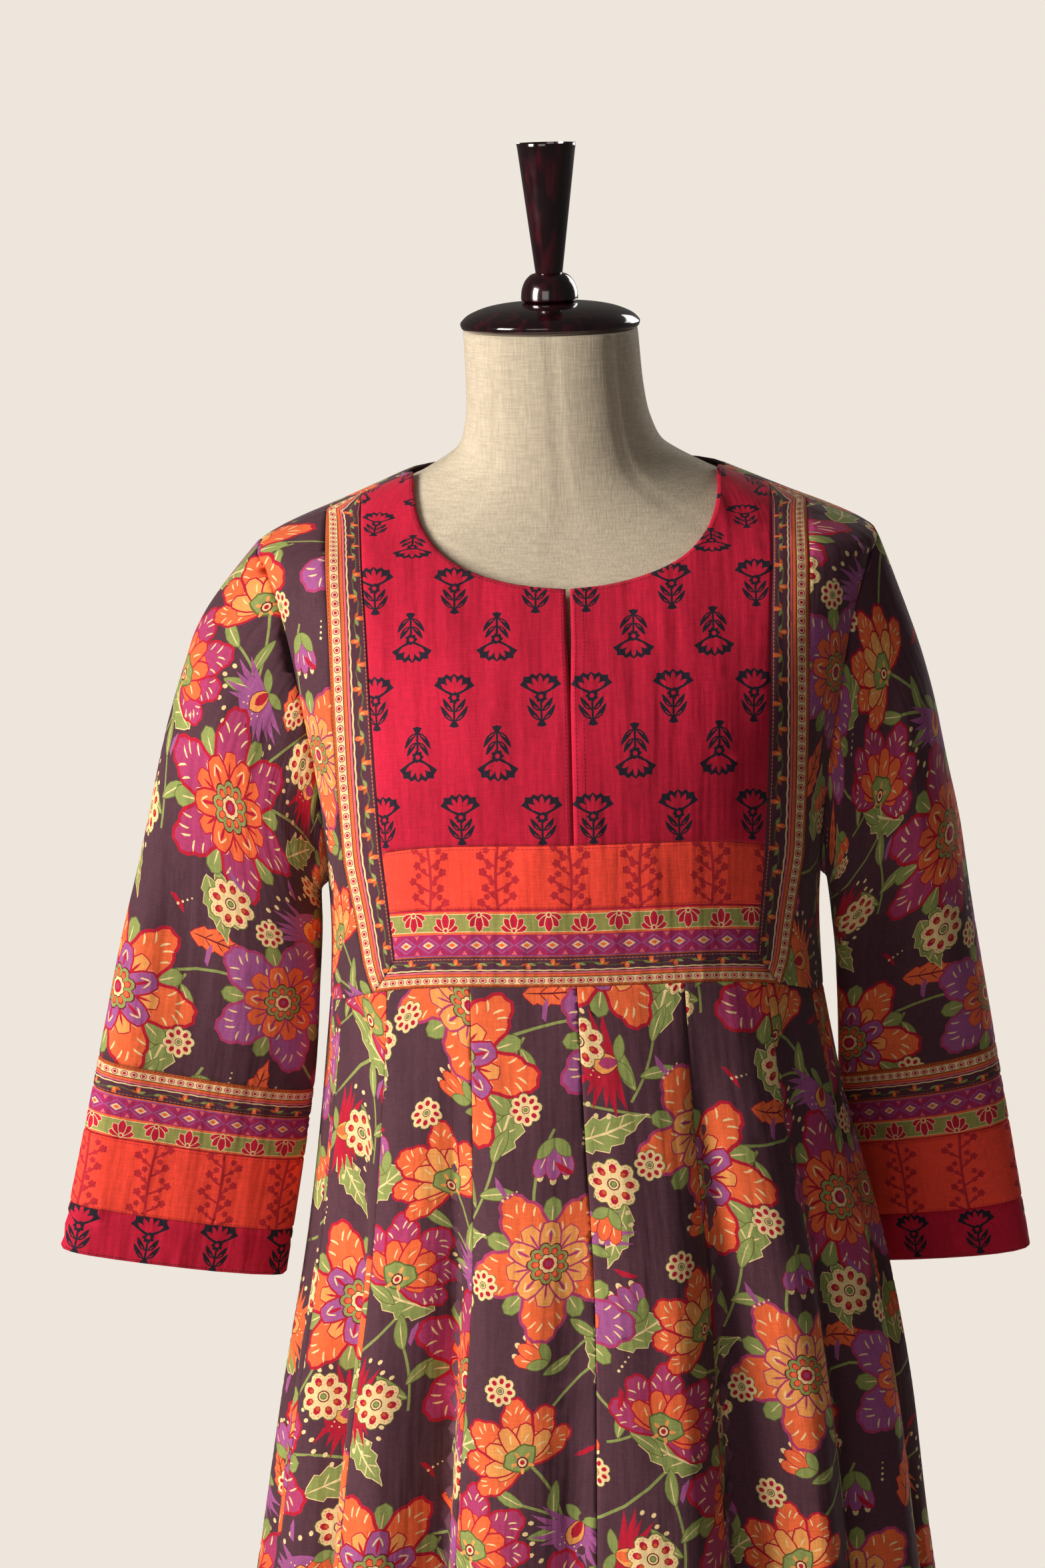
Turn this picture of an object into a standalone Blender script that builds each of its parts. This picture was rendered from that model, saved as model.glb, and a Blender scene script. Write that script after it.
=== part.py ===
"""Anarkali kurta worn by a limbless dress form.

Metres, +Z up. The front faces -Y and +X is the right-hand side seen from the front.
The origin is the centre of the stand's foot, on the floor.
Every ring is a closed section: angle 0 is the front, +90 degrees the +X side, 180 the back.
"""

import math

import bmesh
import bpy
import numpy as np
from mathutils import Vector

# Cloth
WALL = 0.0015
SEAM = 0.0003
FULLNESS = 0.12  # how much fuller than an ellipse a section is between front and side

# Skirt
KALI_COUNT = 16
KALI_COLUMNS = 5
KALI_LEVELS = 11
HEM_Z = 0.19

# Yoke, measured from the empire seam up; a level counts the rows of BODICE
SIDE_SEAM = math.radians(90)
FRAME_TOP_LEVEL = 0.50
BORDER_TOP_LEVEL = 1.12
CORAL_TOP_LEVEL = 1.96
NECK_HALF_WIDTH = 0.097
FRONT_NECK_LEVEL = 7.0
BACK_NECK_LEVEL = 9.9
SHOULDER_NECK_LEVEL = 11
NECK_ROUNDNESS = 2.4
SLIT_BOTTOM_LEVEL = 4.35
SLIT_HALF_GAP = 0.0011

# Armhole
UNDERARM_LEVEL = 1.8
SHOULDER_TIP_LEVEL = 8
SIDE_FRONT_TOP_LEVEL = 8.78
FRAME_SIDE_TOP_LEVEL = 9.5
ARMHOLE_ANGLE = math.radians(21)
ARMHOLE_ROUNDNESS = 0.8
ARMHOLE_TIP_GAP = 0.0021
ARMHOLE_UNDERARM_GAP = 0.0024

# The levels of the bodice's rings; every piece that meets at a seam uses the same ones
BODICE_LEVELS = (
    *(0, FRAME_TOP_LEVEL, BORDER_TOP_LEVEL, UNDERARM_LEVEL, CORAL_TOP_LEVEL),
    *(2.6, 3.3, 4.1, 5.0, 6.0, 6.6, FRONT_NECK_LEVEL, 7.1, 7.3, 7.6, SHOULDER_TIP_LEVEL),
    *(8.3, 8.55, SIDE_FRONT_TOP_LEVEL, 8.9, 9, 9.25, FRAME_SIDE_TOP_LEVEL, 9.75, 10, 10.5),
    SHOULDER_NECK_LEVEL,
)
LEVEL_MARGIN = 0.0035  # half a seam's gap, as a level

# Sleeve bands: the level at which each one ends, counted in rows from the hem
SLEEVE_COLUMNS = 20
SLEEVE_BANDS = (
    # name, bottom level, top level, rows, colour
    ("hem_band", 0.0, 0.306, 1, "crimson"),
    ("coral_band", 0.306, 0.636, 1, "coral"),
    ("border_band", 0.636, 0.835, 1, "lotus_border"),
    ("frame_band", 0.835, 1.0, 1, "frame_border"),
)

# Rings of the dress form's torso, from its flat bottom to its neck
FORM = (
    # z_side, z_front, z_back, half_width, front, back; the neck's rings lean by NECK_LEAN
    (0.780, 0.780, 0.780, 0.142, 0.090, 0.104),
    (0.800, 0.800, 0.800, 0.150, 0.096, 0.112),
    (0.880, 0.880, 0.880, 0.155, 0.099, 0.118),
    (0.970, 0.970, 0.970, 0.146, 0.095, 0.106),
    (1.050, 1.050, 1.050, 0.131, 0.090, 0.090),
    (1.110, 1.110, 1.110, 0.134, 0.100, 0.089),
    (1.160, 1.160, 1.160, 0.142, 0.114, 0.094),
    (1.215, 1.215, 1.215, 0.154, 0.128, 0.103),
    (1.262, 1.258, 1.262, 0.163, 0.120, 0.109),
    (1.300, 1.292, 1.300, 0.170, 0.104, 0.108),
    (1.330, 1.318, 1.332, 0.175, 0.088, 0.102),
    (1.352, 1.338, 1.358, 0.177, 0.076, 0.092),
    (1.368, 1.352, 1.376, 0.170, 0.067, 0.082),
    (1.384, 1.366, 1.392, 0.145, 0.060, 0.071),
    (1.396, 1.378, 1.405, 0.115, 0.057, 0.066),
    (1.404, 1.386, 1.412, 0.096, 0.056, 0.063),
    (1.420, 1.404, 1.428, 0.069, 0.055, 0.060),
    (1.438, 1.426, 1.442, 0.060, 0.055, 0.057),
    (1.462, 1.458, 1.464, 0.057, 0.055, 0.056),
    (1.496, 1.496, 1.496, 0.056, 0.055, 0.055),
)
FORM_COLUMNS = 36
FORM_SHOULDER_ROW = 13  # the first of the rows that carry the cloth
NECK_ROW = 15
NECK_LEAN = -0.0075
SEAT_GAP = 0.0022

# Rings of the bodice's inner face, from the empire seam to the neck
BODICE = (
    # z_side, z_front, z_back, half_width, front, back
    (1.062, 1.092, 1.068, 0.161, 0.119, 0.112),
    (1.110, 1.138, 1.114, 0.159, 0.125, 0.110),
    (1.150, 1.188, 1.154, 0.161, 0.134, 0.111),
    (1.205, 1.232, 1.206, 0.169, 0.141, 0.115),
    (1.255, 1.266, 1.256, 0.179, 0.134, 0.119),
    (1.297, 1.296, 1.297, 0.187, 0.118, 0.118),
    (1.328, 1.321, 1.331, 0.194, 0.100, 0.111),
    (1.350, 1.340, 1.358, 0.199, 0.084, 0.100),
    (1.364, 1.354, 1.377, 0.197, 0.072, 0.086),
    *(
        tuple(value + SEAT_GAP for value in row)
        for row in FORM[FORM_SHOULDER_ROW : FORM_SHOULDER_ROW + 4]
    ),
)

# Half widths of the yoke's inner panel and of the frame beside it, seen from the front, by level
YOKE_LEVELS = (0, 0.5, 2, 3, 5, 7, 9, 12)
YOKE_HALF_WIDTHS = (0.112, 0.115, 0.121, 0.123, 0.126, 0.129, 0.131, 0.131)
FRAME_WIDTHS = (0.018, 0.021, 0.026, 0.026, 0.025, 0.024, 0.023, 0.023)

# Rings of the skirt's inner face, from the empire seam to the hem
SKIRT = (
    # z_side, z_front, z_back, half_width, front, back, fold_depth, shift_x
    (1.062, 1.092, 1.068, 0.161, 0.119, 0.112, 0.000, 0.000),
    (0.980, 0.998, 0.984, 0.176, 0.137, 0.129, 0.009, 0.003),
    (0.890, 0.898, 0.891, 0.197, 0.160, 0.152, 0.022, 0.007),
    (0.790, 0.793, 0.790, 0.219, 0.184, 0.176, 0.034, 0.006),
    (0.680, 0.681, 0.680, 0.237, 0.208, 0.200, 0.043, 0.004),
    (0.520, 0.520, 0.520, 0.265, 0.240, 0.234, 0.054, 0.003),
    (0.350, 0.350, 0.350, 0.293, 0.272, 0.267, 0.064, 0.002),
    (HEM_Z, HEM_Z, HEM_Z, 0.318, 0.300, 0.296, 0.074, 0.000),
)

# The skirt's hanging folds; share is of the ring's fold depth
FOLDS = (
    # angle, half_width_deg, share, slant_deg
    (-3, 8, 0.26, 2),
    (24, 9, 1.00, 4),
    (50, 10, 0.72, 3),
    (77, 10, 0.86, 2),
    (102, 10, 0.70, 0),
    (128, 11, 1.00, -3),
    (153, 10, 0.80, -2),
    (178, 11, 0.92, 0),
    (204, 10, 0.84, 3),
    (231, 10, 0.94, 2),
    (257, 11, 0.78, 0),
    (282, 10, 0.72, -2),
    (306, 10, 0.88, -3),
    (333, 9, 1.00, -5),
)

# Rings of each sleeve's inner face, from the hem to the armhole.
# The low and high points are the ring's ends at -X and +X; blend is its share of the armhole's own loop.
SLEEVE_RINGS = {
    "right": (
        # low_x, low_y, low_z, high_x, high_y, high_z, half_depth, blend
        (0.178, 0.118, 0.836, 0.303, 0.050, 0.861, 0.020, 0.00),
        (0.180, 0.072, 0.984, 0.277, 0.030, 1.009, 0.031, 0.00),
        (0.177, 0.040, 1.066, 0.262, 0.014, 1.096, 0.041, 0.00),
        (0.171, 0.014, 1.108, 0.253, 0.004, 1.165, 0.049, 0.00),
        (0.1682, 0.004, 1.1303, 0.2457, 0.000, 1.2055, 0.055, 0.06),
        (0.1683, 0.000, 1.1343, 0.2489, 0.000, 1.2194, 0.060, 0.35),
        (0.1678, 0.000, 1.1353, 0.2520, 0.000, 1.2240, 0.060, 0.70),
        (0.1640, 0.000, 1.1460, 0.2030, 0.000, 1.3640, 0.080, 1.00),
    ),
    "left": (
        (-0.343, -0.040, 0.903, -0.200, -0.005, 0.872, 0.018, 0.00),
        (-0.313, -0.030, 1.030, -0.178, 0.004, 0.998, 0.028, 0.00),
        (-0.296, -0.020, 1.106, -0.171, 0.002, 1.072, 0.038, 0.00),
        (-0.281, -0.010, 1.165, -0.168, 0.000, 1.108, 0.046, 0.00),
        (-0.2723, -0.004, 1.2130, -0.1682, 0.000, 1.1300, 0.053, 0.06),
        (-0.2766, 0.000, 1.2424, -0.1683, 0.000, 1.1343, 0.059, 0.35),
        (-0.2887, 0.000, 1.2573, -0.1678, 0.000, 1.1353, 0.060, 0.70),
        (-0.2030, 0.000, 1.3640, -0.1640, 0.000, 1.1460, 0.080, 1.00),
    ),
}
SIDES = {"left": -1, "right": 1}

# Turned wood on top of the neck: radius and height of each point above the neck
NECK_TOP_Z = 1.496
CAP_PROFILE = (
    (0.0520, 0.0000),
    (0.0560, 0.0012),
    (0.0576, 0.0040),
    (0.0568, 0.0065),
    (0.0520, 0.0105),
    (0.0420, 0.0145),
    (0.0300, 0.0168),
    (0.0160, 0.0178),
)
FINIAL_PROFILE = (
    (0.0158, 0.0000),
    (0.0180, 0.0012),
    (0.0182, 0.0040),
    (0.0176, 0.0085),
    (0.0155, 0.0135),
    (0.0120, 0.0172),
    (0.0086, 0.0186),
    (0.0090, 0.0210),
    (0.0182, 0.0950),
    (0.0184, 0.0968),
    (0.0170, 0.0985),
    (0.0090, 0.0995),
)
TURNED_COLUMNS = 20

# Stand
POLE_RADIUS = 0.0125
POLE_COLUMNS = 14
FOOT_PROFILE = (
    (0.1850, 0.0000),
    (0.1850, 0.0100),
    (0.1780, 0.0160),
    (0.0600, 0.0240),
    (0.0260, 0.0300),
    (0.0220, 0.0520),
)
FOOT_COLUMNS = 30

# Colours: red, green, blue, roughness
COLOURS = {
    "plum_floral": (0.070, 0.028, 0.048, 0.80),
    "crimson": (0.480, 0.020, 0.060, 0.78),
    "coral": (0.720, 0.060, 0.035, 0.78),
    "lotus_border": (0.320, 0.090, 0.130, 0.80),
    "frame_border": (0.260, 0.090, 0.050, 0.80),
    "form_linen": (0.760, 0.680, 0.560, 0.90),
    "dark_wood": (0.045, 0.008, 0.010, 0.22),
}


def row_at(table, level):
    """The table's row at a level between its rows, on a smooth curve through them."""
    last = len(table) - 1
    start = min(max(int(level), 0), last - 1)
    share = min(max(level - start, 0.0), 1.0)
    before, here, after, beyond = (
        np.array(table[min(max(start + step, 0), last)]) for step in (-1, 0, 1, 2)
    )
    slope_here = (after - before) / 2
    slope_after = (beyond - here) / 2
    square, cube = share**2, share**3
    return (
        here * (2 * cube - 3 * square + 1)
        + slope_here * (cube - 2 * square + share)
        + after * (3 * square - 2 * cube)
        + slope_after * (cube - square)
    )


def section_point(row, angle):
    """A point on the ring that the row gives."""
    z_side, z_front, z_back, half_width, front, back = row[:6]
    across, along = math.sin(angle), math.cos(angle)
    depth, z_end = (front, z_front) if along > 0 else (back, z_back)
    return Vector(
        (
            half_width * across * (1 + FULLNESS * along**2),
            -depth * along * (1 + FULLNESS * across**2),
            z_side + (z_end - z_side) * (1 - across**4),
        )
    )


def bodice_point(angle, level):
    return section_point(row_at(BODICE, level), angle)


def skirt_point(angle, level):
    """A point of the skirt, drawn in at its folds. A fold's slant moves it along the ring by the hem."""
    row = row_at(SKIRT, level)
    point = section_point(row, angle)
    drawn_in = 0.0
    for fold_deg, half_width_deg, share, slant_deg in FOLDS:
        middle = fold_deg + slant_deg * level / (len(SKIRT) - 1)
        away = (math.degrees(angle) - middle + 180) % 360 - 180
        drawn_in += row[6] * share * math.exp(-((away / half_width_deg) ** 2))
    inward = Vector((point.x, point.y, 0)).normalized() * drawn_in
    return point - inward + Vector((row[7], 0, 0))


def outward(place, across, level):
    """The direction square to the surface that place(across, level) gives."""
    step = 1e-4
    sideways = place(across + step, level) - place(across - step, level)
    upward = place(across, level + step) - place(across, level - step)
    return sideways.cross(upward).normalized()


def angle_at(half_width, level):
    """The angle at which the bodice's ring is this far from the middle, seen from the front."""
    angles = np.linspace(0, SIDE_SEAM, 91)
    reach = np.sin(angles) * (1 + FULLNESS * np.cos(angles) ** 2)
    ring = row_at(BODICE, level)[3]
    return float(np.interp(half_width / ring, reach, angles))


def seam_angle(point_of, level):
    """Half a seam's gap, as an angle where the bodice is this wide."""
    return SEAM / 2 / row_at(point_of, level)[3]


def yoke_half_width(level):
    return float(np.interp(level, YOKE_LEVELS, YOKE_HALF_WIDTHS))


def frame_width(level):
    return float(np.interp(level, YOKE_LEVELS, FRAME_WIDTHS))


def mitre(level):
    """How far past the yoke's inner panel the frame's mitred corner reaches at a level."""
    return FRAME_WIDTHS[0] * max(0.0, 1 - level / FRAME_TOP_LEVEL)


def neck_angle(level):
    """The front neckline, a scoop from the middle to the shoulder seam."""
    drop = (SHOULDER_NECK_LEVEL - level) / (SHOULDER_NECK_LEVEL - FRONT_NECK_LEVEL)
    half = NECK_HALF_WIDTH * (1 - min(max(drop, 0.0), 1.0) ** NECK_ROUNDNESS) ** 0.5
    return angle_at(half, level)


def centre_edge(level):
    """The middle edge of one half of the yoke: the placket, the open slit above it, then the neckline."""
    if level > FRONT_NECK_LEVEL:
        return max(neck_angle(level), slit_angle(FRONT_NECK_LEVEL))
    return slit_angle(level)


def slit_angle(level):
    opened = min(max((level - SLIT_BOTTOM_LEVEL) / 1.2, 0.0), 1.0)
    return (SEAM / 2 + SLIT_HALF_GAP * opened) / row_at(BODICE, level)[3]


def armhole_angle(level):
    """The angle between the side and the armhole's edge at a level."""
    share = (level - UNDERARM_LEVEL) / (SHOULDER_TIP_LEVEL - UNDERARM_LEVEL)
    if not 0 < share < 1:
        return 0.0
    return ARMHOLE_ANGLE * (2 * math.sqrt(share * (1 - share))) ** ARMHOLE_ROUNDNESS


def armhole_point(side, turn):
    """The armhole's loop as a sleeve meets it, clear of the bodice's edge."""
    height = (1 + side * math.sin(turn)) / 2
    level = UNDERARM_LEVEL + (SHOULDER_TIP_LEVEL - UNDERARM_LEVEL) * height
    opening = ARMHOLE_ANGLE * abs(math.cos(turn)) ** ARMHOLE_ROUNDNESS
    angle = side * (SIDE_SEAM - math.copysign(opening, math.cos(turn)))
    gap = ARMHOLE_UNDERARM_GAP + (ARMHOLE_TIP_GAP - ARMHOLE_UNDERARM_GAP) * height
    return bodice_point(angle, level) + outward(bodice_point, angle, level) * (WALL + gap)


def sleeve_point(side_name, turn, level):
    """A point of a sleeve: an oval ring between its two ends, becoming the armhole's loop at the top."""
    row = row_at(SLEEVE_RINGS[side_name], level)
    low, high = Vector(row[0:3]), Vector(row[3:6])
    reach = (high - low) / 2
    back = Vector((-reach.y, reach.x, 0)).normalized() * row[6]
    across, along = math.sin(turn), math.cos(turn)
    ring = (
        (low + high) / 2
        + reach * across * (1 + FULLNESS * along**2)
        - back * along * (1 + FULLNESS * across**2)
    )
    return ring.lerp(armhole_point(SIDES[side_name], turn), min(max(row[7], 0), 1))


def material(name):
    made = bpy.data.materials.get(name)
    if made is None:
        made = bpy.data.materials.new(name)
        made.use_nodes = True
        shader = made.node_tree.nodes["Principled BSDF"]
        *colour, roughness = COLOURS[name]
        shader.inputs["Base Color"].default_value = (*colour, 1)
        shader.inputs["Roughness"].default_value = roughness
        shader.inputs["Metallic"].default_value = 0
    return made


def add_solid(name, shape, colour):
    """Turns a closed shape's faces outwards and adds it as an object."""
    bmesh.ops.recalc_face_normals(shape, faces=shape.faces)
    if shape.calc_volume(signed=True) < 0:
        bmesh.ops.reverse_faces(shape, faces=shape.faces)
    surface = bpy.data.meshes.new(name)
    shape.to_mesh(surface)
    shape.free()
    surface.shade_smooth()
    surface.set_sharp_from_angle(angle=math.radians(45))
    surface.materials.append(material(colour))
    made = bpy.data.objects.new(name, surface)
    bpy.context.scene.collection.objects.link(made)
    return made


def cloth(name, columns, levels, place, upright, colour, closed=False):
    """A closed cloth wall whose inner face is a grid at place(share across, level).

    upright(level) is how far the wall's edges are levelled, so that it meets the next piece squarely.
    """
    wall = bmesh.new()
    bmesh.ops.create_grid(wall, x_segments=columns, y_segments=len(levels) - 1, size=0.5)
    share_of = wall.verts.layers.float.new("share")
    level_of = wall.verts.layers.float.new("level")
    for vertex in wall.verts:
        vertex[share_of] = vertex.co.x + 0.5
        vertex[level_of] = levels[round((vertex.co.y + 0.5) * (len(levels) - 1))]
        vertex.co = place(vertex[share_of], vertex[level_of])
    if closed:
        bmesh.ops.remove_doubles(wall, verts=wall.verts, dist=1e-6)
    grown = bmesh.ops.extrude_face_region(wall, geom=wall.faces[:], use_keep_orig=True)
    for vertex in grown["geom"]:
        if isinstance(vertex, bmesh.types.BMVert):
            direction = outward(place, vertex[share_of], vertex[level_of])
            direction.z *= 1 - upright(vertex[level_of])
            vertex.co += direction.normalized() * WALL
    return add_solid(name, wall, colour)


def levels_between(bottom, top):
    inside = [level for level in BODICE_LEVELS if bottom < level < top]
    return (bottom + LEVEL_MARGIN, *inside, top - LEVEL_MARGIN)


def bodice_upright(level):
    return max(0.0, 1 - level)


def always_upright(level):
    return 1.0


def never_upright(level):
    return 0.0


def strip(name, columns, levels, low_edge, high_edge, colour):
    """A piece of the bodice between two edges, each an angle that depends on the level."""

    def place(share, level):
        low, high = low_edge(level), high_edge(level)
        return bodice_point(low + (high - low) * share, level)

    return cloth(name, columns, levels, place, bodice_upright, colour)


def turned(name, profile, base, columns, colour):
    """A closed turned piece on its base point, from a profile of radii and heights."""
    lathe = bmesh.new()
    outline = [(0.0, profile[0][1]), *profile, (0.0, profile[-1][1])]
    corners = [lathe.verts.new(base + Vector((radius, 0, height))) for radius, height in outline]
    edges = [lathe.edges.new(pair) for pair in zip(corners, corners[1:])]
    bmesh.ops.spin(
        lathe,
        geom=corners + edges,
        cent=base,
        axis=(0, 0, 1),
        angle=math.tau,
        steps=columns,
        use_merge=True,
    )
    bmesh.ops.remove_doubles(lathe, verts=lathe.verts, dist=1e-6)
    return add_solid(name, lathe, colour)


def make_stand():
    turned("stand_foot", FOOT_PROFILE, Vector(), FOOT_COLUMNS, "dark_wood")
    pole_bottom = FOOT_PROFILE[-1][1] + SEAM
    pole_top = FORM[0][0] - SEAM
    pole_profile = ((POLE_RADIUS, pole_bottom), (POLE_RADIUS, pole_top))
    turned("stand_pole", pole_profile, Vector(), POLE_COLUMNS, "dark_wood")


def make_form():
    """The torso, a closed smooth solid with a flat bottom and a flat neck, and the turned wood on it."""
    torso = bmesh.new()
    rings = []
    for number, row in enumerate(FORM):
        lean = NECK_LEAN * max(0.0, (number - NECK_ROW) / (len(FORM) - 1 - NECK_ROW))
        places = [
            section_point(row, math.tau * column / FORM_COLUMNS) + Vector((lean, 0, 0))
            for column in range(FORM_COLUMNS)
        ]
        ring = [torso.verts.new(place) for place in places]
        edges = [torso.edges.new((ring[step - 1], ring[step])) for step in range(len(ring))]
        if rings:
            bmesh.ops.bridge_loops(torso, edges=rings[-1][1] + edges)
        rings.append((ring, edges))
    torso.faces.new(rings[0][0])
    torso.faces.new(rings[-1][0])
    add_solid("form_torso", torso, "form_linen")
    cap_base = Vector((NECK_LEAN, 0, NECK_TOP_Z + SEAM))
    turned("form_neck_cap", CAP_PROFILE, cap_base, TURNED_COLUMNS + 4, "dark_wood")
    finial_base = cap_base + Vector((0, 0, CAP_PROFILE[-1][1] + SEAM))
    turned("form_finial", FINIAL_PROFILE, finial_base, TURNED_COLUMNS, "dark_wood")


def make_yoke():
    """The yoke's two halves, its three bands and the mitred frame round them."""
    half_levels = levels_between(CORAL_TOP_LEVEL, SHOULDER_NECK_LEVEL)

    def panel_edge(level):
        return angle_at(yoke_half_width(level), level) - seam_angle(BODICE, level)

    def frame_inner(level):
        return angle_at(yoke_half_width(level) + mitre(level), level) + seam_angle(BODICE, level)

    def frame_outer(level):
        half = yoke_half_width(level) + frame_width(level)
        return angle_at(half, level) - seam_angle(BODICE, level)

    def mirrored(edge):
        return lambda level: -edge(level)

    strip("yoke_right", 6, half_levels, centre_edge, panel_edge, "crimson")
    strip("yoke_left", 6, half_levels, mirrored(panel_edge), mirrored(centre_edge), "crimson")
    bands = (
        ("yoke_coral_band", BORDER_TOP_LEVEL, CORAL_TOP_LEVEL, "coral"),
        ("yoke_border_band", FRAME_TOP_LEVEL, BORDER_TOP_LEVEL, "lotus_border"),
    )
    for name, bottom, top, colour in bands:
        strip(name, 12, levels_between(bottom, top), mirrored(panel_edge), panel_edge, colour)

    def mitre_edge(level):
        return angle_at(yoke_half_width(level) + mitre(level), level) - seam_angle(BODICE, level)

    bottom_levels = levels_between(0, FRAME_TOP_LEVEL)
    strip("yoke_frame_bottom", 14, bottom_levels, mirrored(mitre_edge), mitre_edge, "frame_border")
    side_levels = levels_between(0, FRAME_SIDE_TOP_LEVEL)
    strip("yoke_frame_right", 2, side_levels, frame_inner, frame_outer, "frame_border")
    strip(
        "yoke_frame_left",
        2,
        side_levels,
        mirrored(frame_outer),
        mirrored(frame_inner),
        "frame_border",
    )


def make_side_fronts_and_back():
    levels = levels_between(0, SIDE_FRONT_TOP_LEVEL)

    def inner(level):
        half = yoke_half_width(level) + frame_width(level)
        return angle_at(half, level) + seam_angle(BODICE, level)

    def outer(level):
        return SIDE_SEAM - armhole_angle(level) - seam_angle(BODICE, level)

    strip("front_side_right", 5, levels, inner, outer, "plum_floral")
    strip(
        "front_side_left",
        5,
        levels,
        lambda level: -outer(level),
        lambda level: -inner(level),
        "plum_floral",
    )
    back_levels = levels_between(0, SHOULDER_NECK_LEVEL)

    def back_place(share, level):
        """The back, whose upper rows dip to the back neckline."""
        edge = SIDE_SEAM + armhole_angle(level) + seam_angle(BODICE, level)
        angle = edge + (math.tau - 2 * edge) * share
        dip = (SHOULDER_NECK_LEVEL - BACK_NECK_LEVEL) * abs(math.cos(angle)) ** 0.7
        return bodice_point(angle, level * (1 - dip / SHOULDER_NECK_LEVEL))

    cloth("back", 16, back_levels, back_place, bodice_upright, "plum_floral")


def make_skirt():
    last = len(SKIRT) - 1
    levels = [last * (1 - (step / (KALI_LEVELS - 1)) ** 1.15) for step in range(KALI_LEVELS)]
    levels[-1] = 0.0035
    kali_angle = math.tau / KALI_COUNT
    for number in range(KALI_COUNT):
        start = number * kali_angle

        def place(share, level, start=start):
            margin = seam_angle(SKIRT, level)
            low, high = start + margin, start + kali_angle - margin
            return skirt_point(low + (high - low) * share, level)

        cloth(f"kali_{number + 1:02d}", KALI_COLUMNS, levels, place, always_upright, "plum_floral")


def make_sleeves():
    margin = 0.0013  # half a seam's gap, as a level
    for side_name in SIDES:

        def place(share, level, side_name=side_name):
            return sleeve_point(side_name, math.tau * share, level)

        for band, bottom, top, rows, colour in SLEEVE_BANDS:
            low, high = bottom + margin, top - margin
            levels = [low + (high - low) * row / rows for row in range(rows + 1)]
            name = f"sleeve_{side_name}_{band}"
            cloth(name, SLEEVE_COLUMNS, levels, place, never_upright, colour, closed=True)
        upper_levels = (1 + margin, 1.7, 2.4, 3.0, 3.6, 4.3, 5.0, 5.6, 6.2, 6.7, 7.0)
        name = f"sleeve_{side_name}"
        cloth(name, SLEEVE_COLUMNS, upper_levels, place, never_upright, "plum_floral", closed=True)


for old in list(bpy.data.objects):
    bpy.data.objects.remove(old)
make_stand()
make_form()
make_yoke()
make_side_fronts_and_back()
make_skirt()
make_sleeves()
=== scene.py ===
"""The looks of a long flared kurta on a dress form: printed cotton, padded linen and lacquered wood.

Metres, +Z up; the front faces -Y and +X is the right-hand side seen from the front. Every cloth piece is
cut flat, its print is drawn on the flat piece as inked outlines, and the piece is then draped.
"""

import math

import bmesh
import bpy
import numpy as np
from mathutils import Matrix, Vector
from mathutils.geometry import delaunay_2d_cdt
from mathutils.kdtree import KDTree


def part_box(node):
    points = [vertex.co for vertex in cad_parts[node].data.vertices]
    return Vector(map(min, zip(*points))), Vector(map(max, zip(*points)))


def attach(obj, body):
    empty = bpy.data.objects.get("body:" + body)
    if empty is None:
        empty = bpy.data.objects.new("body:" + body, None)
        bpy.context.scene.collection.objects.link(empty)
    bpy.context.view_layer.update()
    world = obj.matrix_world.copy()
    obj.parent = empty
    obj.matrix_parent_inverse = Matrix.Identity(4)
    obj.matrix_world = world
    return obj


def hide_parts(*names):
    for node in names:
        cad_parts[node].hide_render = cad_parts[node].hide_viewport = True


MM = 0.001
WALL = 1.5 * MM  # from a surface to the cloth's printed face
THICKNESS = 1.1 * MM  # of the cloth
SEAM = 0.3 * MM  # the gap between two pieces
SEAM_DIP = 0.7 * MM  # how far cloth turns in along a seam
SEAM_ROLL = 2.6 * MM  # how far from a seam it starts to turn
FULLNESS = 0.12  # of every ring between its four main points
LEVEL_GAP = 0.003  # half the gap between two bands, in rows of the bodice
SLEEVE_LEVEL_GAP = 0.0013  # the same, in rings of the sleeve

# Skirt
KALI_COUNT = 16
HEM_Z = 0.19

# Yoke, measured from the empire seam up; a level counts the rows of BODICE
SIDE_SEAM = math.radians(90)
FRAME_TOP_LEVEL = 0.50
BORDER_TOP_LEVEL = 1.12
CORAL_TOP_LEVEL = 1.96
NECK_HALF_WIDTH = 0.097
FRONT_NECK_LEVEL = 7.0
BACK_NECK_LEVEL = 9.9
SHOULDER_NECK_LEVEL = 11
NECK_ROUNDNESS = 2.4
SLIT_BOTTOM_LEVEL = 4.35
SLIT_HALF_GAP = 0.0011

# Armhole
UNDERARM_LEVEL = 1.8
SHOULDER_TIP_LEVEL = 8
SIDE_FRONT_TOP_LEVEL = 8.856
FRAME_SIDE_TOP_LEVEL = 9.5
ARMHOLE_ANGLE = math.radians(21)
ARMHOLE_ROUNDNESS = 0.8

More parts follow.
